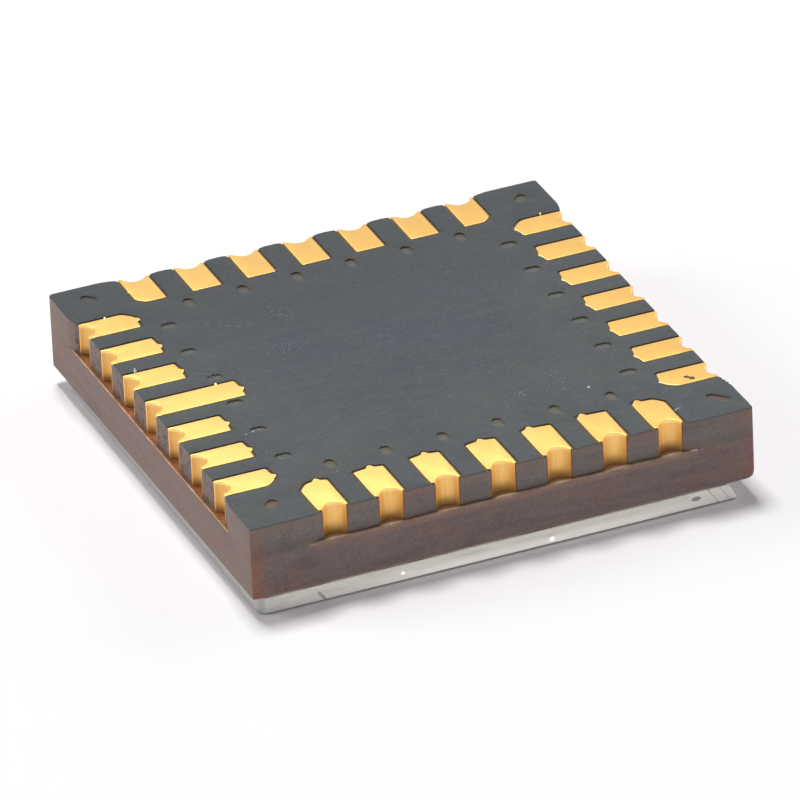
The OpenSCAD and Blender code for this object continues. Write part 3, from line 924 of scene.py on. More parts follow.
def ground_glass():
    f = Finish("window_glass_ground")
    p = f.place()
    x, _, z = f.axes(p)
    side_x, side_y, _ = f.normal()
    left, front = side_x.above(-0.15, -0.9), side_y.above(-0.5, -0.8)
    wiped = f.noise(f.place((0.6, 0.6, 3)), 2.0, 4, 0.6, 0.3)
    patch = f.noise(f.place((0.5, 0.5, 1)), 1.1, 2)
    lower_half = (z + 0.25 * (patch - 0.5)).above(0.30, 0.10)
    oblique = x + 0.675 * z
    lines = (oblique - 4.9).size().above(0.018, 0.005) + 0.6 * (oblique - 5.17).size().above(0.02, 0.005)
    oval = f.spot(x - 4.365, z - 0.24, 0.11, 0.055)
    gash = f.spot(x + 0.7 * z + 4.07, z - 0.13, 0.045, 0.13)
    # bubble_glints: the two bubbles painted as white glints that also glow.
    bubble_glints = f.spot(x - 1.055, z - 0.14, 0.05, 0.05) + f.spot(x + 2.336, z - 0.2, 0.04, 0.035)
    bubble_glints = front * bubble_glints.above(0.0, 0.6)
    # A painted contact shadow: a dark line low on the rim where it stands on the paper.
    painted_contact_shadow = z.above(0.055, 0.02)
    # Painted light in the rim's colour: a brighter lower half, painted shade on the left side and towards the
    # left end, white glints at the bubbles, and the painted contact shadow.
    colour = f.over(
        "#e4e3df",
        (lower_half, "#f6f6f3"),
        (0.45 * wiped.above(0.45, 0.70), "#ffffff"),
        (0.45 * wiped.above(0.45, 0.28), "#bfc1bc"),
        (0.30 * f.noise(p, 12, 3, 0.7).above(0.55, 0.75), "#a3a59f"),
        (0.6 * left, "#96958f"),
        (0.25 * x.above(-4.6, -5.5), "#96958f"),
        (0.75 * front * oval, "#6d6a64"),
        (0.55 * front * lines, "#6f716c"),
        (0.60 * front * gash, "#77776f"),
        (bubble_glints, "#ffffff"),
        (0.6 * painted_contact_shadow, "#5f5d59"))
    # The emitted glow is painted light, for light that wanders in the plate. It is strongest low in the
    # middle and on the right end, where it also lights the paper. It is weak on the left, absent in the
    # painted contact shadow, and white at the bubble glints.
    low = z.above(0.32, 0.06)
    glow = f.over(
        f.mix(low, "#807b74", "#4b4a49"),
        (x.above(-5.8, -1.0) * x.above(6.5, 2.0), f.mix(low, "#89837b", "#aaa4a0")),
        (left, "#2c2c2c"),
        (side_x.above(0.4, 0.7), "#8a8986"),
        (painted_contact_shadow, "#1c1c1c"),
        (bubble_glints, "#ffffff"))
    normal = f.bump(f.noise(p, 30, 3, 0.7), 0.004, f.bump(wiped, 0.015))
    return f.surface(Base_Color=colour, Roughness=0.38, Normal=normal, Emission_Strength=1.0,
                     Emission_Color=f.mix(1.0, colour, glow, "MULTIPLY"))


def seal_finish():
    f = Finish("seal_resin")
    p = f.place()
    cloud = f.noise(p, 2.5, 4, 0.6)
    colour = f.over(
        "#b2aca0",
        (cloud.above(0.35, 0.65), "#d0cabd"),
        (0.6 * f.noise(p, 8, 2).above(0.66, 0.74), "#8a8478"))
    return f.surface(Base_Color=colour, Roughness=0.3, Normal=f.bump(cloud, 0.02))


# %% [markdown]
# ### Inside the window
#
# Through the glass one sees the chip: dark silicon whose rim is crowded with circuit blocks, a
# light-sensing field under a filter coat that glints green and violet, small aluminium pads, and a
# silver-filled adhesive that holds it. The circuit blocks are two brick patterns of different sizes laid
# over each other.

# %% Silicon, filter, aluminium, adhesive and dust
def bricks(f, width, height, gap, shades, offset=0.0):
    """Rows of bricks in two shades of grey, from 0 to 1, with joints of a third."""
    one, other, joint = ((shade, shade, shade, 1) for shade in shades)
    return f.node("TexBrick", {"offset": offset}, {
        "Vector": f.place(), "Scale": 1.0, "Brick Width": width, "Row Height": height, "Mortar Size": gap,
        "Color1": one, "Color2": other, "Mortar": joint})


def silicon_finish():
    f = Finish("silicon_circuits")
    blocks = bricks(f, 0.31, 0.17, 0.012, (0.15, 0.9, 0.4), offset=0.5)
    cells = bricks(f, 0.04, 0.03, 0.004, (0.2, 0.8, 0.1))
    tone = f.axes(f.mix(0.45, blocks, cells))[0]
    colour = f.over(
        "#3b3f4c",
        (tone, "#7d8197"),
        (0.4 * f.noise(f.place(), 1.3, 2).above(0.4, 0.7), "#5d5470"))
    return f.surface(Base_Color=colour, Metallic=0.55, Roughness=0.28 + 0.1 * tone)


def filter_finish():
    f = Finish("filter_coat")
    p = f.place()
    x, y, _ = f.axes(p)
    pixels = bricks(f, 0.03, 0.03, 0.004, (0.7, 1.0, 0.25))
    sweep = (x + 0.7 * y + 1.2 * f.noise(p, 0.4, 2)).above(-2.2, 3.0)
    stops = ((0.0, "#2c4a6b"), (0.35, "#2f6a5c"), (0.6, "#5a5a86"), (1.0, "#6b4a63"))
    ramp = f.node("ValToRGB", {"stops": stops}, {"Fac": sweep})
    colour = f.mix(0.5, ramp, pixels, "MULTIPLY")
    return f.surface(Base_Color=colour, Metallic=0.3, Roughness=0.16 + 0.05 * sweep)


def aluminium_finish():
    f = Finish("pad_aluminium")
    grain = f.noise(f.place(), 30, 3, 0.6)
    return f.surface(Base_Color=f.mix(grain, "#c6c9cc", "#e6e7e6"), Metallic=1.0,
                     Roughness=0.3 + 0.15 * grain, Normal=f.bump(grain, 0.003))


def die_adhesive_finish():
    f = Finish("silver_adhesive")
    flakes = f.noise(f.place(), 35, 3, 0.7)
    colour = f.mix(flakes.above(0.4, 0.6), "#97948c", "#dcdad2")
    return f.surface(Base_Color=colour, Metallic=0.5, Roughness=0.4, Normal=f.bump(flakes, 0.006))


def dust_finish(name, dark, pale):
    f = Finish(name)
    grain = f.noise(f.place(), 25, 2)
    return f.surface(Base_Color=f.mix(grain, dark, pale), Roughness=0.6)


# %% [markdown]
# Each finish is made once, and shared by all the pieces that take it. The two boards differ a little in
# tone, and the crumbs of dust come in three.

# %% All finishes
GOLD = gold_finish()
MASK = mask_finish()
LAMINATE = laminate_finish("laminate_base", "#7b706b", "#8c7e78", "#94675a")
FRAME_LAMINATE = laminate_finish("laminate_frame", "#7a6966", "#8b7772", "#935f55")
FILM = film_finish()
PIT = pit_finish()
BURR = burr_finish()
CLEAR = clear_glass()
GROUND = ground_glass()
SEAL = seal_finish()
SILICON = silicon_finish()
FILTER = filter_finish()
ALUMINIUM = aluminium_finish()
SILVER = die_adhesive_finish()
DUST = dust_finish("pale_crumbs", "#c9d0d2", "#ffffff")
GRIT = dust_finish("fine_dust", "#69757c", "#8c989e")
SOOT = dust_finish("dark_speck", "#3a3126", "#5c4c38")

# %% [markdown]
# ## The boards
#
# The base board has blind pits, which a swept rim can't make in one go. It is drawn as two flush slabs: a
# thin upper one with holes right through it, and the thick one below, whose upper face is then the pits'
# floor. The seam between them lies on the routed edge and can't be seen, because both take the same
# outline.

# %% Pits in the mask
PIT_W = 0.24
PIT_LEN = 0.38
PIT_INSET = 0.46
CORNER_PIT_INSET = 0.7
PIT_DEPTH = 0.008
PIT_OFF = np.array([0.05, 0.07])
CORNER_PITS = {
    LEFT: (-0.02, 0.06, 0.02), BACK: (0.02, 0.01, 0.0), RIGHT: (0.17, -0.05, 0.17), FRONT: (0.07, 0.06, 0.0)}


def pit_rings():
    """The oblong pits, clockwise: one between each two pads, and one at each corner, with its own shift and
    extra length."""
    rings = []
    shift = np.random.default_rng(5).normal(0, 0.02, (4, PINS, 2))
    for side in range(4):
        y = EDGE_Y - PAD_LEN - PIT_INSET
        for k in range(PINS - 1):
            centre = np.array([(k + 0.5 - MIDDLE) * PITCH, y]) + shift[side, k]
            rings.append(turned(oblong(centre, PIT_W, PIT_LEN), side)[::-1] + PIT_OFF)
        far, (shift_x, shift_y, longer) = BODY_HALF - CORNER_PIT_INSET, CORNER_PITS[side]
        ring = turned(oblong((far, far), PIT_W, PIT_LEN + longer, -45), side)
        rings.append(ring[::-1] + PIT_OFF + (shift_x, shift_y))
    return rings


pits = pit_rings()
print(len(pits), "pits")

# %% Base board
base_body = shell([board_ring], [(0, BASE_Z), (0, TOP_Z - PIT_DEPTH)])
base_skin = shell([board_ring, *pits], [(0, TOP_Z - PIT_DEPTH), (0, TOP_Z)])
base_finishes = [0] * (len(base_body[1]) - 2) + [1, 0]
piece("base_board_routed", [(*base_body, base_finishes), (*base_skin, 0)], [LAMINATE, PIT],
      ["base_board"])

# %% [markdown]
# The mask is printed after the copper is etched, so its openings follow the pads with an even gap. Its
# outline runs along the router's cut, dips in round every pad, and comes out again, and the pits are its
# only holes. The coat's upper face waves a little, since it flowed over copper and bare laminate before it
# set.

# %% Solder mask
def dense(ring, step=0.08, closed=True):
    """More points along a ring's or a chain's long edges, at even steps."""
    after = np.roll(ring, -1, axis=0) if closed else np.vstack([ring[1:], ring[-1:]])
    counts = np.maximum(1, (np.linalg.norm(after - ring, axis=1) / step).astype(int))
    return np.vstack([a + (b - a) * np.arange(n)[:, None] / n for a, b, n in zip(ring, after, counts)])


torn = np.random.default_rng(3)
TORN = {LEFT: 0.005, FRONT: 0.003}
TORN_STEP = 0.045
FLANK_START = 0.18
FLANK_END = 0.08
MASK_STEP = 0.026


def mask_way(side, place):
    """The board's way past a terminal, with the opening let in.

    The opening is the pad's end, grown and shifted with the print. On the sides in TORN its straight flanks
    are ragged by about that much.
    """
    way, shift = pad_end(side, place, MASK_GAP), turned_back(MASK_OFF, side)
    if side in TORN:
        way = dense(way, TORN_STEP, closed=False)
        straight = (way[:, 1] > way[:, 1].min() + FLANK_START) & (way[:, 1] < edge_y(side) - FLANK_END)
        way[straight] += torn.normal(0, TORN[side], (straight.sum(), 2))
    way[1:-1] += shift
    way[[0, -1], 0] += shift[0]
    edge = board_way(side, place)
    way[[0, -1], 1] = np.interp(way[[0, -1], 0], edge[::-1, 0], edge[::-1, 1])
    right, left = edge[:, 0] > way[0, 0] + MASK_STEP, edge[:, 0] < way[-1, 0] - MASK_STEP
    return np.vstack([edge[right], way, edge[left]])


SWELL = 0.003
RIPPLE = 0.0012


def mask_waves(x, y):
    """Gentle waves of a micrometre or two, as a product of long sines, and a swell over the copper plane."""
    swell = np.exp(-((x**2 + y**2) / 14) ** 2)
    return SWELL * swell + RIPPLE * np.sin(1.7 * x + 0.6 * y) * np.sin(1.1 * y - 0.5 * x)


spread = np.linspace(-3.3, 3.3, 34)
middle_points = np.stack(np.meshgrid(spread, spread), -1).reshape(-1, 2)
mask_ring = routed_outline(mask_way)
mask_rim = round_rim(TOP_Z, MASK_Z - SWELL, top=0.016)
mask_body = shell([mask_ring, *pits], mask_rim, middle_points, mask_waves)
piece("solder_mask_coat", [(*mask_body, 0)], [MASK], ["solder_mask"])

# %% [markdown]
# ## Terminals
#
# Each terminal is one conductor in three stretches. The pad on top has fine upper edges, but where the
# plating runs over into the half hole its rim is a wide soft round, which catches the light like the pad
# itself. The plating in the hole is a thin crescent, flush with the pad's own bite. On the cavity side a
# ring round the hole leads through a bent trace to the bond finger. All three share the drill's centre, so
# a terminal stays whole where the drill stood off.

# %% The pad
PAD_RIM = 0.012
HOLE_RIM = 0.02


def pad_shell(side, place):
    """The pad. Round the hole its rim is a quarter of an ellipse that takes nearly the whole thickness.

    For each point of the outline, with a from 0 to 90 degrees: inset wide (1 - cos a), height tall sin a.
    Where the strip between hole and side is narrow, wide is half of what is left of it.
    """
    ring = tidy(pad_ring(side, place))
    away = np.hypot(*(ring - drill(side, place)).T) - NOTCH_R
    spare = PAD_W / 2 - np.abs(ring[:, 0] - place * PITCH)
    wide = smoothed(np.where(away < 0.01, np.clip(0.5 * spare, PAD_RIM, HOLE_RIM), PAD_RIM))
    share = (wide - PAD_RIM) / (HOLE_RIM - PAD_RIM)
    tall = PAD_RIM + share * (PAD_Z - TOP_Z - PAD_RIM - 0.004)
    a = np.radians(np.linspace(0, 90, 6))[:, None]
    rows = np.stack([wide * (1 - np.cos(a)), PAD_Z - tall + tall * np.sin(a)], -1)
    foot = np.stack([np.zeros(len(ring)), np.full(len(ring), TOP_Z)], -1)
    return shell([turned(ring, side)], np.concatenate([foot[None], rows]))


# %% [markdown]
# The crescent lies between two half holes that differ in radius by the plating. The inner trace joins the
# ring round the hole to the bond finger, and has to meet the board's edge exactly where that ring does.

# %% Crescent and inner trace
TRACE_W = 0.2
LAND_R = NOTCH_R + 0.13
BEND_Y = EDGE_Y - 0.45
COVER_Y = CAVITY_HALF + 0.2
FINGER_TIP_Y = CAVITY_HALF - 0.75
FINGER_W = 0.34
FINGER_PITCH = 0.9


def crescent_ring(side, place):
    """The plating's outline: the bare hole's way one direction, the drilled hole's way back.

    At a worn lip, where the fibres gave way, and in front it ends with the circle, so the lip's points go.
    """
    ends = [LIP_STEPS if lip > SHARP_LIP or side == FRONT else 0 for lip in lips(side, place)]
    ways = [half_hole(side, place, r, *lips(side, place)) for r in (NOTCH_R, NOTCH_R + PLATING)]
    bare, drilled = [way[ends[0]:len(way) - ends[1]] for way in ways]
    return np.vstack([bare, drilled[::-1]])


def land_end(side, lip):
    """The angle at which the ring round a hole meets the board's edge.

    On the straight run its sine is the edge's height over the ring's radius. On a worn lip the hole's centre,
    the lip's centre and the meeting point make a triangle with three known sides.
    """
    rise = edge_y(side) - drill(side, 0)[1]
    if lip <= SHARP_LIP:
        return math.degrees(math.asin(rise / LAND_R))
    reach = NOTCH_R + lip
    corner = math.acos((LAND_R**2 + reach**2 - lip**2) / (2 * LAND_R * reach))
    return math.degrees(corner - math.asin((lip - rise) / reach))


def trace_ring(side, place):
    """Finger, bent trace and the ring round the hole, anticlockwise from the finger's inner end."""
    hole_x, hole_y = drill(side, place)
    x_out, x_in, half = place * PITCH, place * FINGER_PITCH, TRACE_W / 2
    meet = {s: hole_y - math.sqrt(LAND_R**2 - (x_out + s * half - hole_x) ** 2) for s in (1, -1)}
    start = {s: math.degrees(math.atan2(meet[s] - hole_y, x_out + s * half - hole_x)) % 360 for s in (1, -1)}
    top = {s: land_end(side, lip) for s, lip in zip((1, -1), lips(side, place))}
    reach = {s: hole_x + s * LAND_R * math.cos(math.radians(top[s])) for s in (1, -1)}
    right = [(x_in + FINGER_W / 2, FINGER_TIP_Y), (x_in + FINGER_W / 2, COVER_Y), (x_in + half, COVER_Y),
             (x_out + half, BEND_Y)]
    left = [(x_out - half, BEND_Y), (x_in - half, COVER_Y), (x_in - FINGER_W / 2, COVER_Y),
            (x_in - FINGER_W / 2, FINGER_TIP_Y)]
    return np.vstack([
        rounded([(x_in, FINGER_TIP_Y), *right], [0.05, 0.02, 0.02]),
        arc((hole_x, hole_y), LAND_R, start[1] - 360, top[1], 10)[:-1],
        between(half_hole(side, place, NOTCH_R, *lips(side, place)), reach[-1], reach[1]),
        arc((hole_x, hole_y), LAND_R, 180 - top[-1], start[-1], 10)[1:],
        rounded([*left, (x_in, FINGER_TIP_Y)], [0.02, 0.02, 0.05]),
    ])


# %% All terminals
def terminal_place(number):
    """The side and place of a terminal. They count clockwise from the long pad, in the middle on the left."""
    step = (number - 1 + MIDDLE) % (4 * PINS)
    return step // PINS, step % PINS - MIDDLE


for number in range(1, 4 * PINS + 1):
    side, place = terminal_place(number)
    pad = pad_shell(side, place)
    wall = shell([turned(crescent_ring(side, place), side)], [(0, BASE_Z), (0, TOP_Z)])
    trace = shell([turned(trace_ring(side, place), side)], round_rim(FINGER_Z, BASE_Z - 0.001, foot=0.008))
    node = f"terminal_{number:02d}"
    piece(f"{node}_plated", [(*pad, 0), (*wall, 0), (*trace, 0)], [GOLD], [node])

# %% [markdown]
# ## Film, frame board and burr
#
# The router stopped when it had just gone through the base board, so in front of it a narrow ledge of film
# and frame board is left. Its outer edge was never cut clean: frayed resin stands up along it as a pale
# line. The line is a bead swept along the ledge. It is a few hundredths of a millimetre thick, twice as
# much in some places as in others, and most of all in front.

# %% Film and frame board
BODY_CORNERS = [CORNER_R[side] for side in (BACK, LEFT, FRONT, RIGHT)]


def wavering(ring, size, seed, count):
    """Moves a ring in and out by a sum of seeded sines of its angle round the middle."""
    chance = np.random.default_rng(seed)
    angle = np.arctan2(ring[:, 1], ring[:, 0])[:, None]
    waves = np.sin(angle * np.arange(8, 8 + count) + chance.uniform(0, 6.28, count)).sum(1) / math.sqrt(count)
    return ring + (waves * size)[:, None] * ring / np.linalg.norm(ring, axis=1)[:, None]


def body_square(half, radii):
    """The body's square, anticlockwise from its far right corner, with many points on its straight runs."""
    sides = []
    for k, r in enumerate(radii):
        run = np.linspace(half - r, radii[(k + 1) % 4] - half, 120)[1:-1]
        straight = np.column_stack([run, np.full(len(run), half)])
        quarter = np.vstack([arc((half - r, half - r), r, 0, 90, 8), straight])
        sides.append(quarter @ np.linalg.matrix_power(np.array([[0, 1], [-1, 0]]), k))
    return np.vstack(sides)


FOOT_R = 0.015
KNOCK_R = 0.2
KNOCK_RISE = 0.2


def frame_rows():
    """The frame board's outlines and their levels. Its front right corner was knocked off low down.

    With a from 0 to 90 degrees the level is KNOCK_RISE (1 - cos a), and the corner's radius is larger by
    KNOCK_R (1 - sin a) than higher up. The foot has a fine round besides.
    """
    a = np.radians(np.linspace(0, 90, 12))
    level = KNOCK_RISE * (1 - np.cos(a))
    foot = FOOT_R * (1 - np.sqrt(1 - np.clip(1 - level / FOOT_R, 0, 1) ** 2))
    rows = []
    for d, extra in zip(foot, KNOCK_R * (1 - np.sin(a))):
        radii = [*BODY_CORNERS[:3], BODY_CORNERS[3] + extra]
        rows.append([body_square(BODY_HALF - d, radii), inset(cavity, d)])
    return [*rows, rows[-1]], np.append(WALL_Z + level, PLY_Z)


cavity = tidy(rounded_square(CAVITY_HALF, CAVITY_R)[::-1])
body = body_square(BODY_HALF, BODY_CORNERS)
film_body = shell([body, cavity], [(0, PLY_Z), (0, BASE_Z)])
piece("bond_film", [(*film_body, [1, 0, 0])], [FILM, FRAME_LAMINATE], ["bond_ply"])

rows, levels = frame_rows()
frame_body = stacked(rows, np.repeat(levels[:, None], len(body) + len(cavity), axis=1))
piece("frame_board", [(*frame_body, 0)], [FRAME_LAMINATE], ["wall_board"])


# %% Frayed bead along the ledge
def bead(path, radius, across, up, sides=8):
    """A closed bead: path + radius (cos a across + sin a up), for path points in a row and angles round each.

    path, across and up are (n, 3) arrays and radius (n,); the two ends close on a middle point each.
    """
    a = np.linspace(0, 2 * math.pi, sides, endpoint=False)
    ring = (np.cos(a)[None, :, None] * across[:, None, :] + np.sin(a)[None, :, None] * up[:, None, :])
    points = path[:, None, :] + radius[:, None, None] * ring
    n = len(path)
    k, s = np.meshgrid(np.arange(n - 1), np.arange(sides), indexing="ij")
    here, after = k * sides + s, k * sides + (s + 1) % sides
    walls = np.stack([here, after, after + sides, here + sides], -1).reshape(-1, 4)
    s = np.arange(sides)
    first, last = n * sides, n * sides + 1
    start = np.column_stack([np.full(sides, first), (s + 1) % sides, s])
    end = np.column_stack([np.full(sides, last), (n - 1) * sides + s, (n - 1) * sides + (s + 1) % sides])
    turn = np.cross(across[0], up[0]) @ (path[1] - path[0])
    blocks = [walls, start, end] if turn > 0 else [walls[:, ::-1], start[:, ::-1], end[:, ::-1]]
    return np.vstack([points.reshape(-1, 3), path[:1], path[-1:]]), blocks


def roughness_along(x, seed, scale=14.0):
    """A wandering number between 0 and 1 along x: a sum of seeded sines, squeezed by a smooth step."""
    chance = np.random.default_rng(seed)
    rates = chance.uniform(0.3, 1.0, 24) * scale
    wave = np.sin(x[:, None] * rates + chance.uniform(0, 6.28, 24)).sum(1) / 6
    return 0.5 + 0.5 * np.tanh(wave)


BEAD_PAST = 0.4
BEAD_TAPER = 0.15
BEAD_WANDER = 0.008


def ledge_bead(side, size, seed):
    """Frayed resin on the ledge's outer edge, from one shoulder to the other and thinner at both ends."""
    reach = MIDDLE * PITCH + PAD_W / 2 + BEAD_PAST
    x = np.linspace(reach, -reach, 420)
    ends = np.clip((reach - np.abs(x)) / BEAD_TAPER, 0.05, 1)
    thick = size * (0.5 + 0.5 * roughness_along(x, seed)) * ends
    wander_y = BEAD_WANDER * (roughness_along(x, seed + 1, 5.0) - 0.5)
    flat = turned(np.column_stack([x, BODY_HALF - 0.6 * size + wander_y]), side)
    path = np.column_stack([flat, np.full(len(x), BASE_Z - 0.002)])
    out = np.append(turned([[0, 1]], side)[0], 0)
    return bead(path, thick, np.tile(0.9 * out, (len(x), 1)), np.tile([0, 0, 0.8], (len(x), 1)))


BEADS = {LEFT: 0.022, BACK: 0.012, RIGHT: 0.012, FRONT: 0.058}
beads = [ledge_bead(side, size, 40 + side) for side, size in BEADS.items()]
piece("ledge_fray", [(*b, 0) for b in beads], [BURR])

# %% [markdown]
# ## Dust and small faults
#
# A used package is never clean. The photograph shows a bright crumb on the mask, a dark crust on one pad, a
# few pale flakes, tiny spikes of gold that the router pulled up at the pads' edges, and fine glittering
# dust in groups. Each is a crumb: the bead again, on a short straight path, thick in the middle and lumpy.
# The few that can be made out one by one stand in a table, and the dust is scattered round a few middle
# points.

# %% Crumbs
def crumbs(places, lengths, widths, heights, turns, tilts, seed):
    """Crumbs at places on the surface, in mm and degrees, each as a closed lumpy bead.

    Along each crumb t runs from -1 to 1. Its path is place + t length / 2 along the turned and tilted
    direction, and its radius width / 2 sqrt(1 - t^2) times a random number near 1. Up it is as high as its
    height.
    """
    chance, made, parts = np.random.default_rng(seed), [], 6
    t = np.linspace(-0.97, 0.97, parts)
    for place, length, width, height, turn, tilt in zip(places, lengths, widths, heights, turns, tilts):
        a, b = math.radians(turn), math.radians(tilt)
        along = np.array([math.cos(a) * math.cos(b), math.sin(a) * math.cos(b), math.sin(b)])
        radius = width / 2 * np.sqrt(1 - t**2) * chance.uniform(0.7, 1.2, parts)
        across = np.tile([-math.sin(a), math.cos(a), 0], (parts, 1))
        up = np.cross(along, across[0]) * height / width
        path = np.asarray(place) + t[:, None] * along * length / 2
        made.append(bead(path, radius, across, np.tile(up, (parts, 1)), sides=6))
    return made


# %% [markdown]
# The tables below give the crumbs that can be made out one by one, in millimetres and degrees.

# %% Marks and dust
PALE_MARKS = (  # x, y, z, length, width, height, turn, tilt
    (2.975, -3.37, 2.14, 0.07, 0.06, 0.05, 30, 0),
    (-5.32, 1.66, 2.16, 0.13, 0.035, 0.035, 60, 60),
    (-5.30, 1.65, 2.15, 0.07, 0.03, 0.03, 200, 10),
)
DULL_MARKS = (
    (-0.88, 4.49, 2.136, 0.08, 0.04, 0.02, -15, 0),
    (-4.06, -1.88, 2.136, 0.10, 0.07, 0.02, 24, 0),
    (-3.93, -1.86, 2.136, 0.08, 0.05, 0.02, -20, 0),
    (-4.24, -1.94, 2.136, 0.08, 0.06, 0.02, 50, 0),
    (-4.15, -1.91, 2.136, 0.04, 0.03, 0.02, 0, 0),
    (4.27, -5.06, 2.136, 0.17, 0.06, 0.02, 15, 0),
    (4.20, -5.12, 2.136, 0.08, 0.04, 0.02, 70, 0),
    (5.247, -5.713, 2.0, 0.07, 0.012, 0.05, 0, 0),
    (5.0, -5.713, 1.31, 0.04, 0.012, 0.03, 0, 0),
)
GOLD_MARKS = (
    (-4.0, 0.345, 2.145, 0.08, 0.06, 0.05, 80, 30),
    (-5.02, 4.14, 2.145, 0.09, 0.04, 0.03, 60, 20),
    (-4.13, 4.98, 2.145, 0.07, 0.05, 0.03, 0, 0),
    (5.16, 4.17, 2.15, 0.08, 0.03, 0.03, 80, 50),
)
DARK_MARKS = (
    (5.00, -3.90, 2.147, 0.14, 0.10, 0.03, -40, 0),
    (5.08, -4.00, 2.147, 0.15, 0.11, 0.03, -55, 0),
    (5.04, -3.96, 2.147, 0.24, 0.06, 0.03, -48, 0),
)
DUST_MIDDLES = (
    (-2.7, 2.6), (-2.0, 1.2), (-1.6, 2.6), (2.5, -2.85), (1.7, -2.95), (-3.95, 0.8), (-4.0, -2.95))
GRAINS = 26


def marks(table, seed):
    table = np.array(table)
    return [(*part, 0) for part in crumbs(table[:, :3], *table[:, 3:].T, seed)]


chance = np.random.default_rng(17)
around = np.repeat(np.array(DUST_MIDDLES), GRAINS, axis=0)
around += chance.normal(0, 0.2, around.shape)
sizes = chance.uniform(0.011, 0.026, len(around))
grit = np.column_stack([around, np.full(len(around), MASK_Z + 0.001), 1.5 * sizes, sizes, 0.4 * sizes,
                        chance.uniform(0, 180, len(around)), 0 * sizes])
piece("pale_crumbs", marks(PALE_MARKS, 51), [DUST])
piece("fine_dust", marks(np.vstack([DULL_MARKS, grit]), 54), [GRIT])
piece("gold_spikes", marks(GOLD_MARKS, 52), [GOLD])
piece("dark_crust", marks(DARK_MARKS, 53), [SOOT])

# %% [markdown]
# ## Window
#
# The glass sits a little off the middle, as it was placed. One of its upright corners is rounded by the
# adhesive that ran round it. The rim is swept as before, and takes the ground finish, while the two faces
# take the clear one. The adhesive squeezed out unevenly, so its outline wavers just inside the rim of the
# glass.

# %% Glass and adhesive
glass_low, glass_high = low("window"), high("window")
LEFT_SKEW = (0.02, -0.07)
RIGHT_INSET = 0.07
RIGHT_SLANT = 0.5
MID_GLASS_Z = 0.2


def glass_ring(shrink, z):
    """The window's outline at a level, anticlockwise from its far right corner.

    Its left edge was cut a little askew, and its right end slants: it reaches RIGHT_SLANT further for each
    millimetre down. Each corner has its own radius, the last number in its row.
    """
    (x0, y0), (x1, y1) = glass_low[:2] + shrink, glass_high[:2] - shrink
    x1 = x1 - RIGHT_INSET + RIGHT_SLANT * (MID_GLASS_Z - z)
    corners = ((x1, y1, -1, -1, 0.05), (x0 + LEFT_SKEW[0], y1, 1, -1, 0.05),
               (x0 + LEFT_SKEW[1], y0, 1, 1, 0.24), (x1, y0, -1, 1, 0.04))
    return np.vstack([arc((x + sx * r, y + sy * r), r, 90 * k, 90 * k + 90, 8)
                      for k, (x, y, sx, sy, r) in enumerate(corners)])


glass_rim = [(0.04, 0), (0.012, 0.02), (0, 0.05), (0, SEAL_Z - 0.02), (0.015, SEAL_Z - 0.002)]
glass_rows = [[glass_ring(d, z)] for d, z in glass_rim]
glass_height = np.array([[z] * len(row[0]) for row, (_, z) in zip(glass_rows, glass_rim)])
glass_body = stacked(glass_rows, glass_height)
glass_finishes = [1] * (len(glass_body[1]) - 2) + [0, 0]
piece("window_glass", [(*glass_body, glass_finishes)], [CLEAR, GROUND], ["window"])

seal_ring = wavering(dense(glass_ring(0.03, SEAL_Z)), 0.012, 7, 60)
seal_hole = wavering(dense(rounded_square(CAVITY_HALF + 0.2, CAVITY_R + 0.2)), 0.03, 8, 30)[::-1]
seal_body = shell([seal_ring, seal_hole], [(0, SEAL_Z), (-0.008, (SEAL_Z + WALL_Z) / 2), (0, WALL_Z)])
piece("seal_bead", [(*seal_body, 0)], [SEAL], ["lid_seal"])

# %% [markdown]
# ## The chip behind the window
#
# The chip's own solids have the right shape, so they stay and only take their finishes. Two of its parts
# are drawn finer: the adhesive, which climbs the chip's sides in a small fillet, and the bond wires, which
# are round tubes along smooth loops. All wires are worked out at once as one array of wires, rings and
# sides.

# %% Chip finishes and adhesive fillet
CHIP = {"die": SILICON, "filter_coat": FILTER, "die_bond_pads": ALUMINIUM, "die_pad": GOLD}
for name, finish in CHIP.items():
    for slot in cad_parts[name].material_slots:
        slot.material = finish

die_half = high("die")[0]
attach_z, floor_z = low("die_attach")[2], high("die_attach")[2]
fillet_ring = wavering(dense(rounded_square(die_half + 0.1, 0.12)), 0.02, 3, 24)
fillet = shell([fillet_ring], [(0.097, attach_z - 0.12), (0.075, attach_z - 0.05), (0.03, attach_z - 0.012),
                               (0, attach_z + 0.012), (0, floor_z)])
piece("die_adhesive_fillet", [(*fillet, 0)], [SILVER], ["die_attach"])


# %% Bond wires
WIRE_R = 0.015
WIRE_FOOT = (0.017, 0.02)
WIRE_RISE = 0.22
BALL_R = 0.04
BALL_H = 0.03
BOND_PITCH = 0.65
BOND_INSET = 0.15


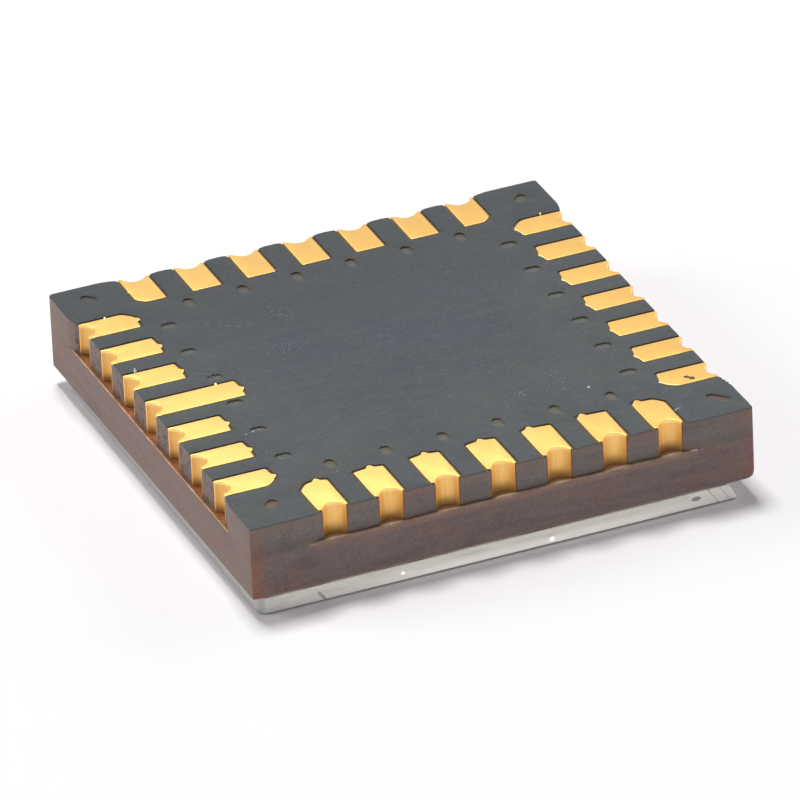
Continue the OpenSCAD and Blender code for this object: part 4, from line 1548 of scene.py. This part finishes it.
def wire_curves(steps=22):
    """Centre lines of all wires: cubic curves from the ball's top, towards the glass, and down to the finger.

    For each wire, (1-t)^3 A + 3 (1-t)^2 t B + 3 (1-t) t^2 C + t^3 D, as an array of wires by steps by 3.
    """
    ball_z = low("die_bond_pads")[2] - BALL_H
    lines = []
    for side in range(4):
        place = np.arange(-MIDDLE, MIDDLE + 1)
        foot = turned(np.column_stack([place * BOND_PITCH, np.full(PINS, die_half - BOND_INSET)]), side)
        end = turned(np.column_stack([place * FINGER_PITCH, np.full(PINS, FINGER_TIP_Y + 0.375)]), side)
        a = np.column_stack([foot, np.full(PINS, ball_z)])
        d = np.column_stack([end, np.full(PINS, floor_z)])
        b = a - [0, 0, WIRE_RISE]
        c = np.column_stack([(foot + end) / 2, np.full(PINS, ball_z - WIRE_RISE)])
        t = np.linspace(0, 1, steps)[None, :, None]
        a, b, c, d = (q[:, None, :] for q in (a, b, c, d))
        lines.append((1 - t) ** 3 * a + 3 * (1 - t) ** 2 * t * b + 3 * (1 - t) * t**2 * c + t**3 * d)
    return np.vstack(lines)


wire_parts = []
for curve in wire_curves():
    run = curve[-1] - curve[0]
    across = np.tile(np.array([run[1], -run[0], 0]) / np.linalg.norm(run[:2]), (len(curve), 1))
    along = np.gradient(curve, axis=0)
    up = np.cross(across, along)
    up /= np.linalg.norm(up, axis=1)[:, None]
    thick = np.full(len(curve), WIRE_R)
    thick[-2:] = WIRE_FOOT
    wire_parts.append((*bead(curve, thick, across, up, 8), 0))
    a = np.linspace(0, 1, 7)
    ball_path = curve[0] + np.array([0, 0, BALL_H]) * (1 - a)[:, None]
    ball_r = BALL_R * np.sqrt(np.clip(1 - (1.7 * a - 0.75) ** 2, 0.14, 1))
    flat = np.tile([1.0, 0, 0], (7, 1)), np.tile([0, 1.0, 0], (7, 1))
    wire_parts.append((*bead(ball_path, ball_r, *flat, 12), 0))
piece("bond_wire_loops", wire_parts, [GOLD], ["bond_wires"])

# %% [markdown]
# ## Room, light and camera
#
# The package lies on white paper under soft light. The main lamp hangs overhead and a little behind, so the
# shadow falls softly towards the camera. A weaker one stands on the left, so the left side is the paler of
# the two that show, and one that is weaker still on the right. The room itself is a dim dome for diffuse
# light, but reads as white to the camera and to whatever gold and glass reflect. The paper glows a little
# for the camera only, which keeps its shadow.

# %% Floor and room
def paper_finish():
    f = Finish("white_paper")
    grain = f.noise(f.place(), 0.9, 2)
    colour = f.mix(grain, "#fbf9fc", "#fdfbfe")
    lit = f.node("BsdfDiffuse", inputs={"Color": colour})
    camera = f.node("LightPath", out="Is Camera Ray")
    glow = f.node("Emission", inputs={"Color": (1, 0.985, 1, 1), "Strength": 0.03 * camera})
    return f.show(f.node("AddShader", inputs={0: lit, 1: glow}))


FLOOR_HALF = 400
FLOOR_DROP = 0.002
floor_mesh = bpy.data.meshes.new("paper")
corners = np.array([(-1, -1, 0), (1, -1, 0), (1, 1, 0), (-1, 1, 0)]) * FLOOR_HALF - (0, 0, FLOOR_DROP)
floor_mesh.from_pydata((corners * MM).tolist(), [], [(0, 1, 2, 3)])
floor_mesh.materials.append(paper_finish())
floor = bpy.data.objects.new("paper", floor_mesh)
bpy.context.scene.collection.objects.link(floor)

ROOM_LEVEL = 0.165


def room():
    """The world: white for camera, glossy and transmission rays, and dim for the rest."""
    f = Finish("white_room", "worlds")
    rays = ("Is Camera Ray", "Is Glossy Ray", "Is Transmission Ray")
    camera, glossy, through = [f.node("LightPath", out=ray) for ray in rays]
    white = camera.math("MAXIMUM", glossy).math("MAXIMUM", through)
    level = ROOM_LEVEL + (1 - ROOM_LEVEL) * white
    shine = f.node("Background", inputs={"Color": (1, 1, 1, 1), "Strength": level})
    f.node("OutputWorld", inputs={"Surface": shine})
    return f.block


bpy.context.scene.world = room()


# %% Lamps
def lamp(name, place, size, level):
    """A square soft lamp in metres that aims at the package and gives it about that much light."""
    light = bpy.data.lights.new(name, "AREA")
    light.shape, light.size = "SQUARE", size
    distance = Vector(place).length
    light.energy = level * math.pi**2 * distance**2
    made = bpy.data.objects.new(name, light)
    made.location = place
    made.rotation_euler = (-Vector(place)).to_track_quat("-Z", "Y").to_euler()
    bpy.context.scene.collection.objects.link(made)


lamp("overhead_lamp", (-0.006, 0.055, 0.225), 0.065, 0.69)
lamp("left_lamp", (-0.22, 0.11, 0.10), 0.16, 0.40)
lamp("right_lamp", (0.22, 0.05, 0.09), 0.20, 0.30)

# %% [markdown]
# The camera's place and turn come from fitting the package's corners and pads to their places in the
# photograph. It is a long lens from about a quarter of a metre away, so upright edges stay nearly parallel,
# and the picture leans by a little over two degrees.

# %% Camera
CAMERA_PLACE = (-0.078976, -0.198552, 0.119382)
LOOK = np.array([0.32336, 0.81262, -0.48485])
UP = np.array([0.2224, 0.4328, 0.8736])
FOCAL_PIXELS = 11488
PICTURE_PIXELS = 800

lens = bpy.data.cameras.new("camera")
lens.sensor_width = 36
lens.lens = FOCAL_PIXELS / PICTURE_PIXELS * lens.sensor_width
lens.clip_start, lens.clip_end = 0.01, 10
camera = bpy.data.objects.new("camera", lens)
camera.location = CAMERA_PLACE
across = np.cross(LOOK, UP) / np.linalg.norm(np.cross(LOOK, UP))
upright = np.cross(across, LOOK)
camera.rotation_euler = Matrix(np.column_stack([across, upright, -LOOK]).tolist()).to_euler()
bpy.context.scene.collection.objects.link(camera)
bpy.context.scene.camera = camera
bpy.context.scene.view_settings.view_transform = "Standard"
